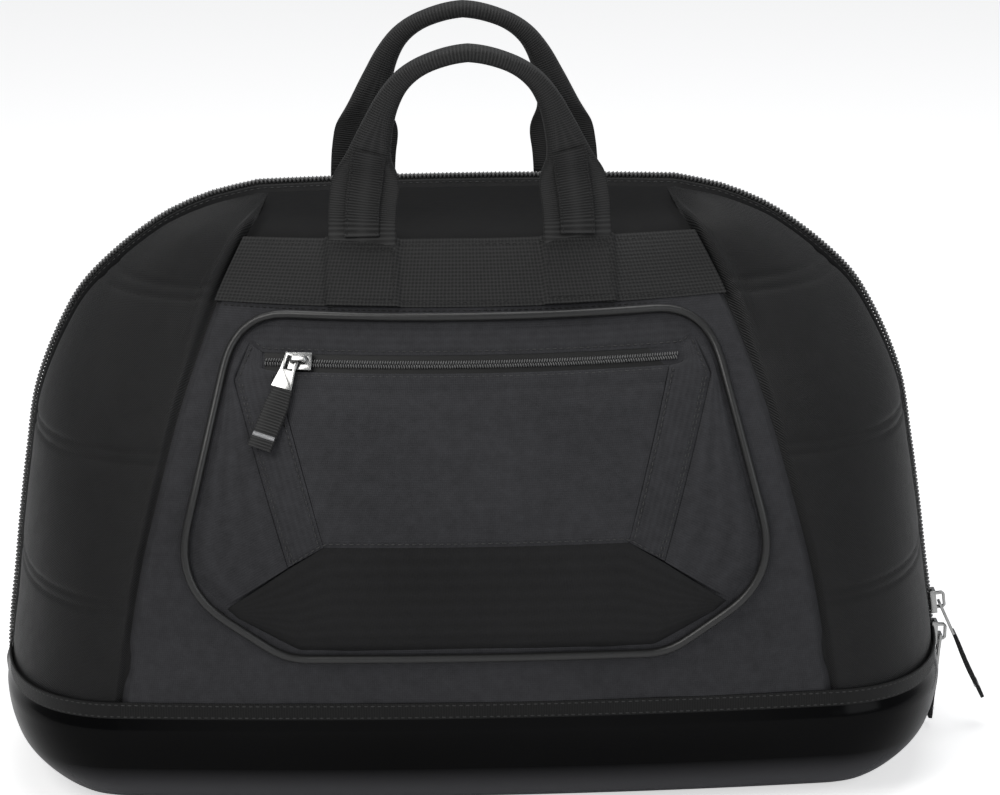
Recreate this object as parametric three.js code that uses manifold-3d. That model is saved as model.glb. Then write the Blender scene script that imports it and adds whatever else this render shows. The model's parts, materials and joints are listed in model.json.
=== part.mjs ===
// Padded carry bag for a motorcycle helmet. Millimetres, +Z up, front toward -Y, +X to the right.
// The zip runs up one side, over the top and down the other on the plane y = 0.
import * as THREE from 'three';
import { mergeVertices } from 'three/addons/utils/BufferGeometryUtils.js';
import Module from 'manifold-3d';

const wasm = await Module();
wasm.setup();

// Main form
const bagWidth = 490;
const bagHeight = 304;
const bodyDepth = 285;
const clearance = 0.3;
const panelWall = 3;
const padWall = 5;
const centreCells = 8;
const sideCells = 5;

// Moulded boot round the bottom
const bootHeight = 57;
const bootWall = 3;
const bootFootInset = 34;
const bindingWidth = 9;
const bindingWall = 1.2;

// Zip strip over the top
const stripHalf = 15;
const stripDrop = 4.5;
const stripWall = 1.5;
const tapeHalf = 6.5;
const tapeWall = 1.1;
const coilWidth = 4.4;
const coilHeight = 2.4;
const zipEndHeight = 36;
const topCells = 6;

// Padded channels of the side panels
const channelDepth = 2.6;
const channelHalf = 4.5;

// Webbing band and handles
const bandWall = 1.8;
const bandBelowTop = 21;
const bandWidth = 28.5;
const bandTop = bagHeight - bandBelowTop;
const bandLow = bandTop - bandWidth;
const handleGap = 108;
const handleRise = 95;
const webbingWidth = 35;
const webbingWall = 3;
const gripWidth = 18;
const gripThick = 8;
const handleEndRaise = 3.5;
const handleStitchGap = 0.4;
const handleLayer = clearance + bandWall + handleStitchGap;
const sectionCornerCut = 0.12;

// Pocket
const pocketCloth = 1.2;
const pocketLift = clearance + pocketCloth;
const pocketTopWidth = 234;
const pocketWideWidth = 300;
const pocketFootWidth = 189;
const pocketTopGap = 4.5;
const pocketTop = bandLow - pocketTopGap;
const pocketWideShare = 0.339;
const pocketFootShare = 0.152;
const pocketWide = bootHeight + pocketWideShare * (bandLow - bootHeight);
const pocketFoot = bootHeight + pocketFootShare * (bandLow - bootHeight);
const pocketBulge = 9.5;
const pipingRadius = 2.3;
const pipingSides = 6;
const pipingSteps = 56;
const pocketZipDrop = 21;
const pocketZip = pocketTop - pocketZipDrop;
const pocketZipInset = 14;
const pocketZipHalf = pocketTopWidth / 2 - pocketZipInset;
const pocketTapeHalf = 4;
const pocketTapeWall = 0.9;
const pocketCoilWidth = 3.6;
const pocketCoilHeight = 1.6;

// Zip sliders and pulls
const sliderLength = 12;
const sliderWidth = 9;
const sliderPlate = 1.8;
const sliderLip = 1.6;
const bridgeWidth = 2.6;
const bridgeBar = 1.4;
const bridgeRoom = 3.6;
const bridgeLength = 9;
const tabWidth = 8;
const tabEndWidth = 11;
const tabLength = 18;
const tabThick = 1.5;
const eyeLength = 8;
const eyeWidth = 4.4;
const gripBand = 11;
const gripCloth = 2.6;
const pocketCoilRoom = 1.13;
const mainSliderRise = 12;
const mainSliderHeight = bootHeight + mainSliderRise;
const mainPullLean = 24;
const mainGripLength = 38;
const secondSliderDrop = 17;
const secondSliderHeight = mainSliderHeight - secondSliderDrop;
const secondPullLean = -7;
const secondGripLength = 27;
const pocketSliderRest = 18;
const pocketSliderX = pocketSliderRest - pocketZipHalf;
const pocketPullLean = 14;
const pocketGripLength = 32;

// Level, depth and half widths of the body, as shares of bagHeight, half the depth and half the width.
// Fall is how far the seam lies behind the middle, round how full the side panel bulges.
const bodyStations = [
  { level: bootHeight / bagHeight, depth: 0.947, fall: 0.07, seam: 0.731, rimX: 1, rimZ: 0.1875, round: 0.9 },
  { level: 0.257, depth: 0.972, fall: 0.077, seam: 0.718, rimX: 0.993, rimZ: 0.247, round: 0.9 },
  { level: 0.329, depth: 0.995, fall: 0.084, seam: 0.704, rimX: 0.982, rimZ: 0.313, round: 0.89 },
  { level: 0.434, depth: 1, fall: 0.095, seam: 0.68, rimX: 0.967, rimZ: 0.415, round: 0.87 },
  { level: 0.553, depth: 0.965, fall: 0.112, seam: 0.643, rimX: 0.947, rimZ: 0.53, round: 0.85 },
  { level: 0.678, depth: 0.877, fall: 0.14, seam: 0.6, rimX: 0.92, rimZ: 0.651, round: 0.82 },
  { level: 0.79, depth: 0.751, fall: 0.16, seam: 0.549, rimX: 0.855, rimZ: 0.773, round: 0.78 },
  { level: 0.862, depth: 0.649, fall: 0.16, seam: 0.51, rimX: 0.788, rimZ: 0.847, round: 0.74 },
  { level: 0.931, depth: 0.498, fall: 0.1, seam: 0.465, rimX: 0.653, rimZ: 0.934, round: 0.7 },
  { level: 0.96, depth: 0.351, fall: 0.05, seam: 0.441, rimX: 0.547, rimZ: 0.9737, round: 0.66 },
  { level: 1 - stripDrop / bagHeight, depth: (2 * stripHalf) / bodyDepth, fall: 0, seam: 0.417,
    rimX: 0.439, rimZ: 0.9943, round: 0.6 },
];
const channelLevels = [0.365, 0.615, 0.868];

// Height above the floor and inset from the widest outline, as shares of the boot's height and foot inset.
const bootStations = [
  { height: 0, inset: 1 },
  { height: 0.07, inset: 0.66 },
  { height: 0.21, inset: 0.38 },
  { height: 0.42, inset: 0.17 },
  { height: 0.67, inset: 0.04 },
  { height: 1, inset: 0 },
];

// Free part of a handle, from the band up to the middle of the grip. Across and up are shares of half
// the gap between the legs and of the rise; flat goes from 1 at the leg to 0 at the folded grip.
const handleStations = [
  { across: 1, up: 0.03, flat: 1 },
  { across: 1, up: 0.17, flat: 1 },
  { across: 0.97, up: 0.36, flat: 0.72 },
  { across: 0.88, up: 0.57, flat: 0.3 },
  { across: 0.68, up: 0.79, flat: 0.08 },
  { across: 0.36, up: 0.95, flat: 0 },
  { across: 0, up: 1, flat: 0 },
];

const halfWidth = bagWidth / 2;
const halfDepth = bodyDepth / 2;

const finishes = {
  panel: { color: 0x35353a, roughness: 0.88, metalness: 0 },
  side: { color: 0x222427, roughness: 0.7, metalness: 0 },
  boot: { color: 0x060607, roughness: 0.12, metalness: 0 },
  webbing: { color: 0x2b2d2e, roughness: 0.85, metalness: 0 },
  trim: { color: 0x18181a, roughness: 0.6, metalness: 0 },
  coil: { color: 0x1d1e20, roughness: 0.4, metalness: 0 },
  metal: { color: 0xd9dadb, roughness: 0.22, metalness: 1 },
};

function vec(x, y, z) {
  return new THREE.Vector3(x, y, z);
}

// Smooth value of one column of a table of stations.
function valueAt(table, key, column, at) {
  let i = 0;
  while (i < table.length - 2 && at > table[i + 1][key]) {
    i += 1;
  }
  const span = table[i + 1][key] - table[i][key];
  const slope = (j) => {
    const low = table[Math.max(j - 1, 0)];
    const high = table[Math.min(j + 1, table.length - 1)];
    return (high[column] - low[column]) / (high[key] - low[key]);
  };
  const t = (at - table[i][key]) / span;
  const a = table[i][column];
  const b = table[i + 1][column];
  const t2 = t * t;
  const t3 = t2 * t;
  const ends = a * (2 * t3 - 3 * t2 + 1) + b * (3 * t2 - 2 * t3);
  return ends + span * (slope(i) * (t3 - 2 * t2 + t) + slope(i + 1) * (t3 - t2));
}

// One closed body from its triangles, turned so that its faces point out.
function closedGeometry(triangles) {
  let volume = 0;
  for (const [a, b, c] of triangles) {
    volume += a.dot(b.clone().cross(c));
  }
  const positions = [];
  for (const [a, b, c] of triangles) {
    const order = volume > 0 ? [a, b, c] : [a, c, b];
    for (const p of order) {
      positions.push(p.x, p.y, p.z);
    }
  }
  const geometry = new THREE.BufferGeometry();
  geometry.setAttribute('position', new THREE.Float32BufferAttribute(positions, 3));
  return mergeVertices(geometry, 1e-4);
}

function addQuad(triangles, a, b, c, d) {
  triangles.push([a, b, c], [a, c, d]);
}

// Wall between an outer and an inner grid of points.
function wallBetween(outer, inner) {
  const triangles = [];
  const rows = outer.length - 1;
  const columns = outer[0].length - 1;
  for (let r = 0; r < rows; r += 1) {
    for (let c = 0; c < columns; c += 1) {
      addQuad(triangles, outer[r][c], outer[r][c + 1], outer[r + 1][c + 1], outer[r + 1][c]);
      addQuad(triangles, inner[r][c], inner[r + 1][c], inner[r + 1][c + 1], inner[r][c + 1]);
    }
    addQuad(triangles, outer[r][0], outer[r + 1][0], inner[r + 1][0], inner[r][0]);
    addQuad(triangles, outer[r + 1][columns], outer[r][columns], inner[r][columns], inner[r + 1][columns]);
  }
  for (let c = 0; c < columns; c += 1) {
    addQuad(triangles, outer[0][c + 1], outer[0][c], inner[0][c], inner[0][c + 1]);
    addQuad(triangles, outer[rows][c], outer[rows][c + 1], inner[rows][c + 1], inner[rows][c]);
  }
  return closedGeometry(triangles);
}

// Skin over a row of closed sections: capped at both ends, or joined end to end as a ring.
function loftOver(sections, ring) {
  const triangles = [];
  const count = sections[0].length;
  const last = ring ? sections.length : sections.length - 1;
  for (let s = 0; s < last; s += 1) {
    const here = sections[s];
    const next = sections[(s + 1) % sections.length];
    for (let i = 0; i < count; i += 1) {
      const j = (i + 1) % count;
      addQuad(triangles, here[i], here[j], next[j], next[i]);
    }
  }
  if (!ring) {
    const caps = [sections[0].slice().reverse(), sections[sections.length - 1]];
    for (const cap of caps) {
      const middle = cap.reduce((sum, p) => sum.add(p), vec(0, 0, 0)).divideScalar(count);
      for (let i = 0; i < count; i += 1) {
        triangles.push([middle, cap[i], cap[(i + 1) % count]]);
      }
    }
  }
  return closedGeometry(triangles);
}

// Closed solids for cutting and joining.
function toManifold(geometry) {
  const plain = geometry.clone();
  plain.deleteAttribute('normal');
  plain.deleteAttribute('uv');
  const merged = mergeVertices(plain, 1e-4);
  const vertProperties = new Float32Array(merged.attributes.position.array);
  const triVerts = new Uint32Array(merged.index.array);
  return new wasm.Manifold(new wasm.Mesh({ numProp: 3, vertProperties, triVerts }));
}

function fromManifold(shape) {
  const mesh = shape.getMesh();
  const geometry = new THREE.BufferGeometry();
  geometry.setAttribute('position', new THREE.Float32BufferAttribute(mesh.vertProperties, 3));
  geometry.setIndex(Array.from(mesh.triVerts));
  return geometry;
}

// Body surface

function rowAt(height) {
  const at = height / bagHeight;
  const read = (column) => valueAt(bodyStations, 'level', column, at);
  return {
    depth: read('depth') * halfDepth,
    fall: read('fall') * halfDepth,
    seam: read('seam') * halfWidth,
    rimX: read('rimX') * halfWidth,
    rimZ: read('rimZ') * bagHeight,
    round: read('round'),
  };
}

const topHeight = bagHeight - stripDrop;
const topRow = rowAt(topHeight);
const topSag = bagHeight - topRow.rimZ;

// Direction out of the bag on the nearly flat top of the outline.
function topRimOut(x) {
  return vec((2 * topSag * x) / (topRow.rimX * topRow.rimX), 0, 1).normalize();
}

// Outline of the zip on y = 0 at a level of the body, with the direction that points out of the bag.
function rimAt(height) {
  const step = 0.5;
  const here = rowAt(height);
  const low = rowAt(Math.max(height - step, bootHeight));
  const high = rowAt(Math.min(height + step, topHeight));
  let out = vec(high.rimZ - low.rimZ, 0, low.rimX - high.rimX).normalize();
  if (height <= bootHeight + 0.01) {
    out = vec(1, 0, 0);
  }
  if (height >= topHeight - 0.01) {
    out = topRimOut(here.rimX);
  }
  return { place: vec(here.rimX, 0, here.rimZ), out };
}

// Point of the middle panel, for the front half.
function middlePoint(x, height) {
  const row = rowAt(height);
  const share = x / row.seam;
  const sag = height > bandTop ? (topSag * (height - bandTop)) / (topHeight - bandTop) : 0;
  return vec(x, -(row.depth - row.fall * share * share), height - sag * share * share);
}

// Point of the right side panel: t runs from the seam to the zip strip.
function sidePoint(t, height) {
  const row = rowAt(height);
  const seam = middlePoint(row.seam, height);
  const rim = rimAt(height);
  const edge = rim.place.clone().addScaledVector(rim.out, -stripDrop);
  edge.y = -stripHalf;
  const middle = seam.clone().add(edge).multiplyScalar(0.5);
  const corner = vec(edge.x, seam.y, middle.z);
  const pull = middle.lerp(corner, row.round);
  const a = seam.multiplyScalar((1 - t) * (1 - t));
  const b = pull.multiplyScalar(2 * t * (1 - t));
  return a.add(b).addScaledVector(edge, t * t);
}

// Outward direction of a surface given by two numbers.
function outwardOf(surface, u, v, stepU, stepV) {
  const low = Math.max(v - stepV, bootHeight);
  const high = Math.min(v + stepV, topHeight);
  const across = surface(u + stepU, v).sub(surface(u - stepU, v));
  const upward = surface(u, high).sub(surface(u, low));
  return across.cross(upward).normalize();
}

function middleOut(x, height) {
  return outwardOf(middlePoint, x, height, 2, 1.5);
}

function sideOut(t, height) {
  const step = 0.02;
  const u = Math.min(Math.max(t, step), 1 - step);
  return outwardOf(sidePoint, u, height, step, 1.5);
}

function seamOut(height) {
  const row = rowAt(height);
  return middleOut(row.seam, height).add(sideOut(0, height)).normalize();
}

function mirrorX(p) {
  return vec(-p.x, p.y, p.z);
}

function faceBack(p) {
  return vec(p.x, -p.y, p.z);
}

// Levels at which the panels have a row of points.
function levelRows() {
  const rows = bodyStations.map((station) => station.level * bagHeight);
  for (const share of channelLevels) {
    const level = share * bagHeight;
    rows.push(level - channelHalf, level, level + channelHalf);
  }
  rows.push(bootHeight + bindingWidth / 2, bandLow, bandTop);
  rows.sort((a, b) => a - b);
  return rows.filter((row, i) => i === 0 || row - rows[i - 1] > 1.2);
}

const rows = levelRows();
const splitRow = channelLevels[2] * bagHeight;

// Moves a point along its row or column by a small gap.
function nudge(point, toward, gap) {
  const way = toward.clone().sub(point);
  const length = way.length();
  return length > 0 ? point.clone().addScaledVector(way, gap / length) : point.clone();
}

// Pulls the four rims of a grid in by half the clearance.
function trimGrid(grid, gap) {
  const tall = grid.length - 1;
  const wide = grid[0].length - 1;
  const wider = grid.map((line) => {
    const copy = line.map((p) => p.clone());
    copy[0] = nudge(line[0], line[1], gap);
    copy[wide] = nudge(line[wide], line[wide - 1], gap);
    return copy;
  });
  const trimmed = wider.map((line) => line.map((p) => p.clone()));
  for (let c = 0; c <= wide; c += 1) {
    trimmed[0][c] = nudge(wider[0][c], wider[1][c], gap);
    trimmed[tall][c] = nudge(wider[tall][c], wider[tall - 1][c], gap);
  }
  return trimmed;
}

// Direction into the bag for a point of a row; level on the boot's rim, square to the outline on the strip.
function inwardAt(out, height, rim) {
  const inward = out.clone().negate();
  if (height <= bootHeight + 0.01) {
    inward.z = 0;
  }
  if (rim) {
    inward.copy(rim).negate();
  }
  return inward.normalize();
}

function middlePanel(low, high) {
  const outer = [];
  const inner = [];
  for (const height of rows.filter((row) => row >= low - 0.01 && row <= high + 0.01)) {
    const row = rowAt(height);
    const line = [];
    const inwards = [];
    for (let c = 0; c <= centreCells; c += 1) {
      const x = ((2 * c) / centreCells - 1) * row.seam;
      const atSeam = c === 0 || c === centreCells;
      let out = atSeam ? seamOut(height) : middleOut(x, height);
      if (c === 0) {
        out = mirrorX(out);
      }
      const atTop = height > topHeight - 0.01;
      line.push(middlePoint(x, height));
      inwards.push(inwardAt(out, height, atTop ? topRimOut(0) : null));
    }
    outer.push(line);
    inner.push(inwards);
  }
  const trimmed = trimGrid(outer, clearance / 2);
  return [trimmed, movedGrid(trimmed, inner, panelWall)];
}

// Every point of a grid moved along its own direction.
function movedGrid(grid, ways, reach) {
  return grid.map((line, r) => line.map((p, c) => p.clone().addScaledVector(ways[r][c], reach)));
}

// How deep a channel is pressed in at a level, from 0 to 1.
function channelShare(height) {
  const near = channelLevels.map((share) => Math.abs(share * bagHeight - height));
  return Math.max(0, 1 - Math.min(...near) / channelHalf);
}

function sidePanel() {
  const outer = [];
  const inwards = [];
  const pressed = [];
  for (const height of rows) {
    const line = [];
    const ways = [];
    const dents = [];
    for (let c = 0; c <= sideCells; c += 1) {
      const t = c / sideCells;
      const out = c === 0 ? seamOut(height) : sideOut(t, height);
      const atTop = height > topHeight - 0.01;
      const edgeOut = c === sideCells ? rimAt(height).out : null;
      line.push(sidePoint(t, height));
      ways.push(inwardAt(out, height, atTop ? topRimOut(0) : edgeOut));
      dents.push(c === 0 || c === sideCells ? 0 : channelDepth * channelShare(height));
    }
    outer.push(line);
    inwards.push(ways);
    pressed.push(dents);
  }
  const trimmed = trimGrid(outer, clearance / 2);
  const dented = inwards.map((ways, r) => ways.map((way, c) => way.clone().multiplyScalar(pressed[r][c])));
  return [movedGrid(trimmed, dented, 1), movedGrid(trimmed, inwards, padWall)];
}

function mapGrids(grids, change) {
  return grids.map((grid) => grid.map((line) => line.map(change)));
}

// Boot

function bootInset(height) {
  const share = valueAt(bootStations, 'height', 'inset', height / bootHeight);
  return Math.max(0, share) * bootFootInset;
}

// Closed outline of the bag at the top of the boot, seen from above, with its outward directions.
function bootOutline() {
  const front = [];
  const seam = rowAt(bootHeight).seam;
  for (let c = 0; c <= centreCells; c += 1) {
    front.push(middlePoint(((2 * c) / centreCells - 1) * seam, bootHeight));
  }
  const right = [];
  for (let c = 1; c <= sideCells; c += 1) {
    right.push(sidePoint(c / sideCells, bootHeight));
  }
  const half = [...front, ...right];
  const left = right.map(mirrorX).reverse();
  const tip = halfWidth - stripDrop / 2;
  const points = [...half, vec(tip, 0, bootHeight), ...[...left, ...half].reverse().map(faceBack)];
  points.push(vec(-tip, 0, bootHeight), ...left);
  const count = points.length;
  const ways = points.map((p, i) => {
    const run = points[(i + 1) % count].clone().sub(points[(i + count - 1) % count]);
    return vec(run.y, -run.x, 0).normalize();
  });
  return { points, ways };
}

function bootRing(outline, height, inset) {
  return outline.points.map((p, i) => {
    const moved = p.clone().addScaledVector(outline.ways[i], -inset);
    moved.z = height;
    return moved;
  });
}

function bootGeometry() {
  const outline = bootOutline();
  const rim = bootHeight - clearance / 2;
  const outside = bootStations.map((station) => {
    const height = Math.min(station.height * bootHeight, rim);
    return bootRing(outline, height, station.inset * bootFootInset);
  });
  const inside = bootStations.map((station) => {
    const height = Math.min(bootWall + station.height * (bootHeight - bootWall), rim);
    return bootRing(outline, height, station.inset * (bootFootInset - bootWall) + bootWall);
  });
  const shell = toManifold(loftOver([...outside, ...inside.reverse()], false));
  const notchHeight = bootHeight;
  const notch = new THREE.BoxGeometry(2 * bagWidth, 2 * stripHalf + clearance, notchHeight);
  notch.translate(0, 0, zipEndHeight + notchHeight / 2);
  return fromManifold(shell.subtract(toManifold(notch)));
}

function bindingGrids() {
  const outline = bootOutline();
  const frontCount = centreCells + sideCells;
  const count = outline.points.length;
  const levels = [bootHeight - bindingWidth / 2, bootHeight, bootHeight + bindingWidth / 2];
  const under = clearance + 0.1;
  const grids = [under + bindingWall, under].map((lift) => levels.map((height) => {
    const line = [];
    for (let i = -sideCells; i <= frontCount; i += 1) {
      const k = (i + count) % count;
      let base = outline.points[k].clone();
      const share = (2 * i) / centreCells - 1;
      if (height > bootHeight) {
        const t = i < 0 ? -i / sideCells : (i - centreCells) / sideCells;
        const onSide = i < 0 || i > centreCells;
        base = onSide ? sidePoint(t, height) : middlePoint(share * rowAt(height).seam, height);
        base = i < 0 ? mirrorX(base) : base;
      }
      base.z = height;
      line.push(base.addScaledVector(outline.ways[k], lift));
    }
    return line;
  }));
  return grids.map((grid) => trimGrid(grid, clearance / 2));
}

// Zip along the outline

// Places on the outline from the left end over the top to the right end.
function zipPath() {
  const right = [];
  for (const height of [zipEndHeight + clearance, (zipEndHeight + bootHeight) / 2]) {
    right.push({ place: vec(halfWidth - bootInset(height), 0, height), out: vec(1, 0, 0) });
  }
  const spread = rows.filter((row) => channelShare(row) < 0.01 || channelShare(row) > 0.99);
  for (const height of spread) {
    right.push(rimAt(height));
  }
  const top = [];
  for (let c = 1; c < topCells; c += 1) {
    const x = (1 - (2 * c) / topCells) * topRow.rimX;
    const z = bagHeight - topSag * (x / topRow.rimX) ** 2;
    top.push({ place: vec(x, 0, z), out: topRimOut(x) });
  }
  const left = right.map((spot) => ({ place: mirrorX(spot.place), out: mirrorX(spot.out) }));
  return [...left, ...top.reverse(), ...right.reverse()];
}

// Strip along the zip: each edge is given by its y and its depth under the outline.
function alongZip(edges, wall) {
  const outer = zipPath().map((spot) => edges.map((edge) => {
    const p = spot.place.clone().addScaledVector(spot.out, -edge.under);
    p.y = edge.y;
    return p;
  }));
  const inner = zipPath().map((spot) => edges.map((edge) => {
    const p = spot.place.clone().addScaledVector(spot.out, -edge.under - wall);
    p.y = edge.y;
    return p;
  }));
  return [outer, inner];
}

const tapeUnder = coilHeight + clearance;

function gussetGrids() {
  const edges = [
    { y: -stripHalf + clearance / 2, under: stripDrop },
    { y: -tapeHalf - clearance, under: tapeUnder },
  ];
  return alongZip(edges, stripWall);
}

function tapeGrids() {
  const edges = [
    { y: -tapeHalf, under: tapeUnder },
    { y: -clearance / 2, under: tapeUnder },
  ];
  return alongZip(edges, tapeWall);
}

function coilGrids() {
  const edges = [
    { y: -coilWidth / 2, under: 0 },
    { y: coilWidth / 2, under: 0 },
  ];
  return alongZip(edges, coilHeight);
}

// Webbing band and handles

function bandGrids() {
  const levels = rows.filter((row) => row >= bandLow - 0.01 && row <= bandTop + 0.01);
  const lifted = (lift) => levels.map((height) => {
    const seam = rowAt(height).seam;
    const line = [];
    for (let c = 0; c <= centreCells; c += 1) {
      const x = ((2 * c) / centreCells - 1) * seam;
      line.push(middlePoint(x, height).addScaledVector(middleOut(x, height), lift));
    }
    return line;
  });
  return [trimGrid(lifted(clearance + bandWall), clearance), trimGrid(lifted(clearance), clearance)];
}

// Eight points round a flat section, from its four corners with the corners cut.
function cutCorners(corners, share) {
  const loop = [];
  corners.forEach((corner, i) => {
    const next = corners[(i + 1) % corners.length];
    loop.push(corner.clone().lerp(next, share), next.clone().lerp(corner, share));
  });
  return loop;
}

// Leg of a handle on the band: four corners at one level, lifted off the band.
function legSection(height) {
  const x = handleGap / 2;
  const edges = [x - webbingWidth / 2, x + webbingWidth / 2];
  const corners = [];
  for (const lift of [handleLayer, handleLayer + webbingWall]) {
    const pair = edges.map((at) => middlePoint(at, height).addScaledVector(middleOut(at, height), lift));
    corners.push(...(lift === handleLayer ? pair : pair.reverse()));
  }
  return cutCorners(corners, sectionCornerCut);
}

function handleGeometry() {
  const base = middlePoint(handleGap / 2, bandTop);
  const out = middleOut(handleGap / 2, bandTop);
  base.addScaledVector(out, handleLayer + webbingWall / 2);
  const places = handleStations.map((station) => vec(
    (station.across * handleGap) / 2,
    base.y,
    base.z + handleEndRaise + station.up * (handleRise - handleEndRaise),
  ));
  const half = rows.filter((row) => row > bandLow + 1 && row < bandTop + 0.01).map(legSection);
  places.forEach((place, i) => {
    const before = places[Math.max(i - 1, 0)];
    const after = places[Math.min(i + 1, places.length - 1)];
    const run = after.clone().sub(before);
    if (i === places.length - 1) {
      run.set(-1, 0, 0);
    }
    run.normalize();
    const across = vec(run.z, 0, -run.x);
    const flat = handleStations[i].flat;
    const wide = gripThick + (webbingWidth - gripThick) * flat;
    const deep = webbingWall + (gripWidth - webbingWall) * (1 - flat);
    const corners = [[-1, 1], [1, 1], [1, -1], [-1, -1]].map(([a, b]) => {
      const p = place.clone().addScaledVector(across, (a * wide) / 2);
      p.y += (b * deep) / 2;
      return p;
    });
    half.push(cutCorners(corners, sectionCornerCut * (2 - flat)));
  });
  const mirrored = half.slice(0, -1).reverse().map((section) => section.map(mirrorX));
  return loftOver([...half, ...mirrored], false);
}

// Pocket: places on the middle panel as x across, height up and lift off the panel.

function onPanel(x, height, lift) {
  return middlePoint(x, height).addScaledVector(middleOut(x, height), lift);
}

// Points along a polyline: every corner is kept, and the longest legs are split first.
function resample(corners, cells) {
  const reach = (a, b) => Math.hypot(b.x - a.x, b.height - a.height);
  const lengths = corners.slice(1).map((end, i) => reach(corners[i], end));
  const counts = lengths.map(() => 1);
  while (counts.reduce((sum, n) => sum + n, 0) < cells) {
    const widest = lengths.map((length, i) => length / counts[i]);
    counts[widest.indexOf(Math.max(...widest))] += 1;
  }
  const points = [corners[0]];
  counts.forEach((count, i) => {
    for (let k = 1; k <= count; k += 1) {
      const t = k / count;
      const mix = (key) => corners[i][key] + (corners[i + 1][key] - corners[i][key]) * t;
      points.push({ x: mix('x'), height: mix('height'), lift: mix('lift') });
    }
  });
  return points;
}

// Cloth between two edges drawn on the panel.
function clothBetween(edgeA, edgeB, cells, columns) {
  const a = resample(edgeA, cells);
  const b = resample(edgeB, cells);
  const grid = (drop) => a.map((start, i) => {
    const line = [];
    for (let c = 0; c <= columns; c += 1) {
      const t = c / columns;
      const x = start.x + (b[i].x - start.x) * t;
      const height = start.height + (b[i].height - start.height) * t;
      const lift = start.lift + (b[i].lift - start.lift) * t;
      line.push(onPanel(x, height, lift - drop));
    }
    return line;
  });
  const gap = clearance / 2;
  return wallBetween(trimGrid(grid(0), gap), trimGrid(grid(pocketCloth), gap));
}

function spot(x, height, lift) {
  return { x, height, lift };
}

function flipped(edge) {
  return edge.map((p) => spot(-p.x, p.height, p.lift));
}

// Corners of the pocket's cloths: height as a share of the pocket's, across as a share of the half
// width that the piping has at that height, rise from the panel's face to the fullest fold.
const pocketCorners = {
  capTop: { across: 0.88, up: 0.972, rise: 0 },
  capSide: { across: 0.935, up: 0.948, rise: 0 },
  capLow: { across: 0.915, up: 0.925, rise: 0 },
  stripTop: { across: 0.9186, up: 0.92, rise: 0.06 },
  stripBend: { across: 0.945, up: 0.816, rise: 0.19 },
  hinge: { across: 0.627, up: 0.288, rise: 0.71 },
  crease: { across: 0.5156, up: 0.356, rise: 1 },
  wingTop: { across: 0.947, up: 0.936, rise: 0 },
  wingBend: { across: 0.973, up: 0.875, rise: 0 },
  wingWide: { across: 0.979, up: 0.352, rise: 0 },
  wingLow: { across: 0.944, up: 0.252, rise: 0 },
  wingFoot: { across: 0.936, up: 0.162, rise: 0 },
  creaseEnd: { across: 0.937, up: 0.155, rise: 0 },
  facetSide: { across: 0.944, up: 0.129, rise: 0 },
  facetFoot: { across: 0.881, up: 0.022, rise: 0 },
};
const seamGap = 0.2;
const flapLift = pocketLift + 2 * pocketCloth;
const flapEdge = pocketZip - pocketTapeHalf - clearance;
const zipUpper = pocketZip + pocketTapeHalf + clearance;
const zipEndRoom = 1.4;
const zipEnd = pocketZipHalf + zipEndRoom;
const zipEndLift = pocketLift + 2 * seamGap;
const flapInset = 6;
const flapHalf = pocketZipHalf - flapInset;
const foldShift = 5 * seamGap;

// Half width of the piping's outline at a height.
function pocketHalfAt(height) {
  const upper = height > pocketWide;
  const end = upper ? pocketTop : pocketFoot;
  const endWidth = upper ? pocketTopWidth : pocketFootWidth;
  const share = (height - pocketWide) / (end - pocketWide);
  return (pocketWideWidth + (endWidth - pocketWideWidth) * share) / 2;
}

// A corner on the pocket's right half, moved by small steps across and up where it is given them.
function corner(name, across = 0, up = 0) {
  const place = pocketCorners[name];
  const height = pocketFoot + place.up * (pocketTop - pocketFoot);
  const lift = pocketLift + place.rise * (pocketBulge - pocketLift);
  return spot(place.across * pocketHalfAt(height) + across, height + up, lift);
}

// An edge that runs across the pocket, from its right half's corners.
function acrossPocket(half) {
  return [...flipped(half).reverse(), ...half];
}

const stripOuter = [corner('stripTop'), corner('stripBend'), corner('hinge', 0, 2 * foldShift)];
const stripInner = [
  spot(zipEnd, zipUpper, zipEndLift),
  spot(zipEnd, flapEdge + foldShift, zipEndLift),
  spot(flapHalf + foldShift, flapEdge, flapLift),
  corner('crease', seamGap, seamGap),
];
const wingInner = [
  corner('stripTop', 2 * seamGap, seamGap),
  corner('stripBend', 2 * seamGap),
  corner('hinge', 2 * seamGap, foldShift),
];
const wingOuter = ['wingTop', 'wingBend', 'wingWide', 'wingLow', 'wingFoot'].map((name) => corner(name));
const creaseLine = acrossPocket([corner('crease', 0, -seamGap), corner('hinge'), corner('creaseEnd')]);
const facetFoot = acrossPocket([corner('facetFoot'), corner('facetSide')]);
const capUpper = acrossPocket([corner('capTop'), corner('capSide')]);
const capLower = acrossPocket([spot(zipEnd, zipUpper + seamGap, zipEndLift), corner('capLow')]);
const flapUpper = [spot(-flapHalf, flapEdge, flapLift), spot(flapHalf, flapEdge, flapLift)];
const flapLower = acrossPocket([corner('crease', 0, seamGap)]);

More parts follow.
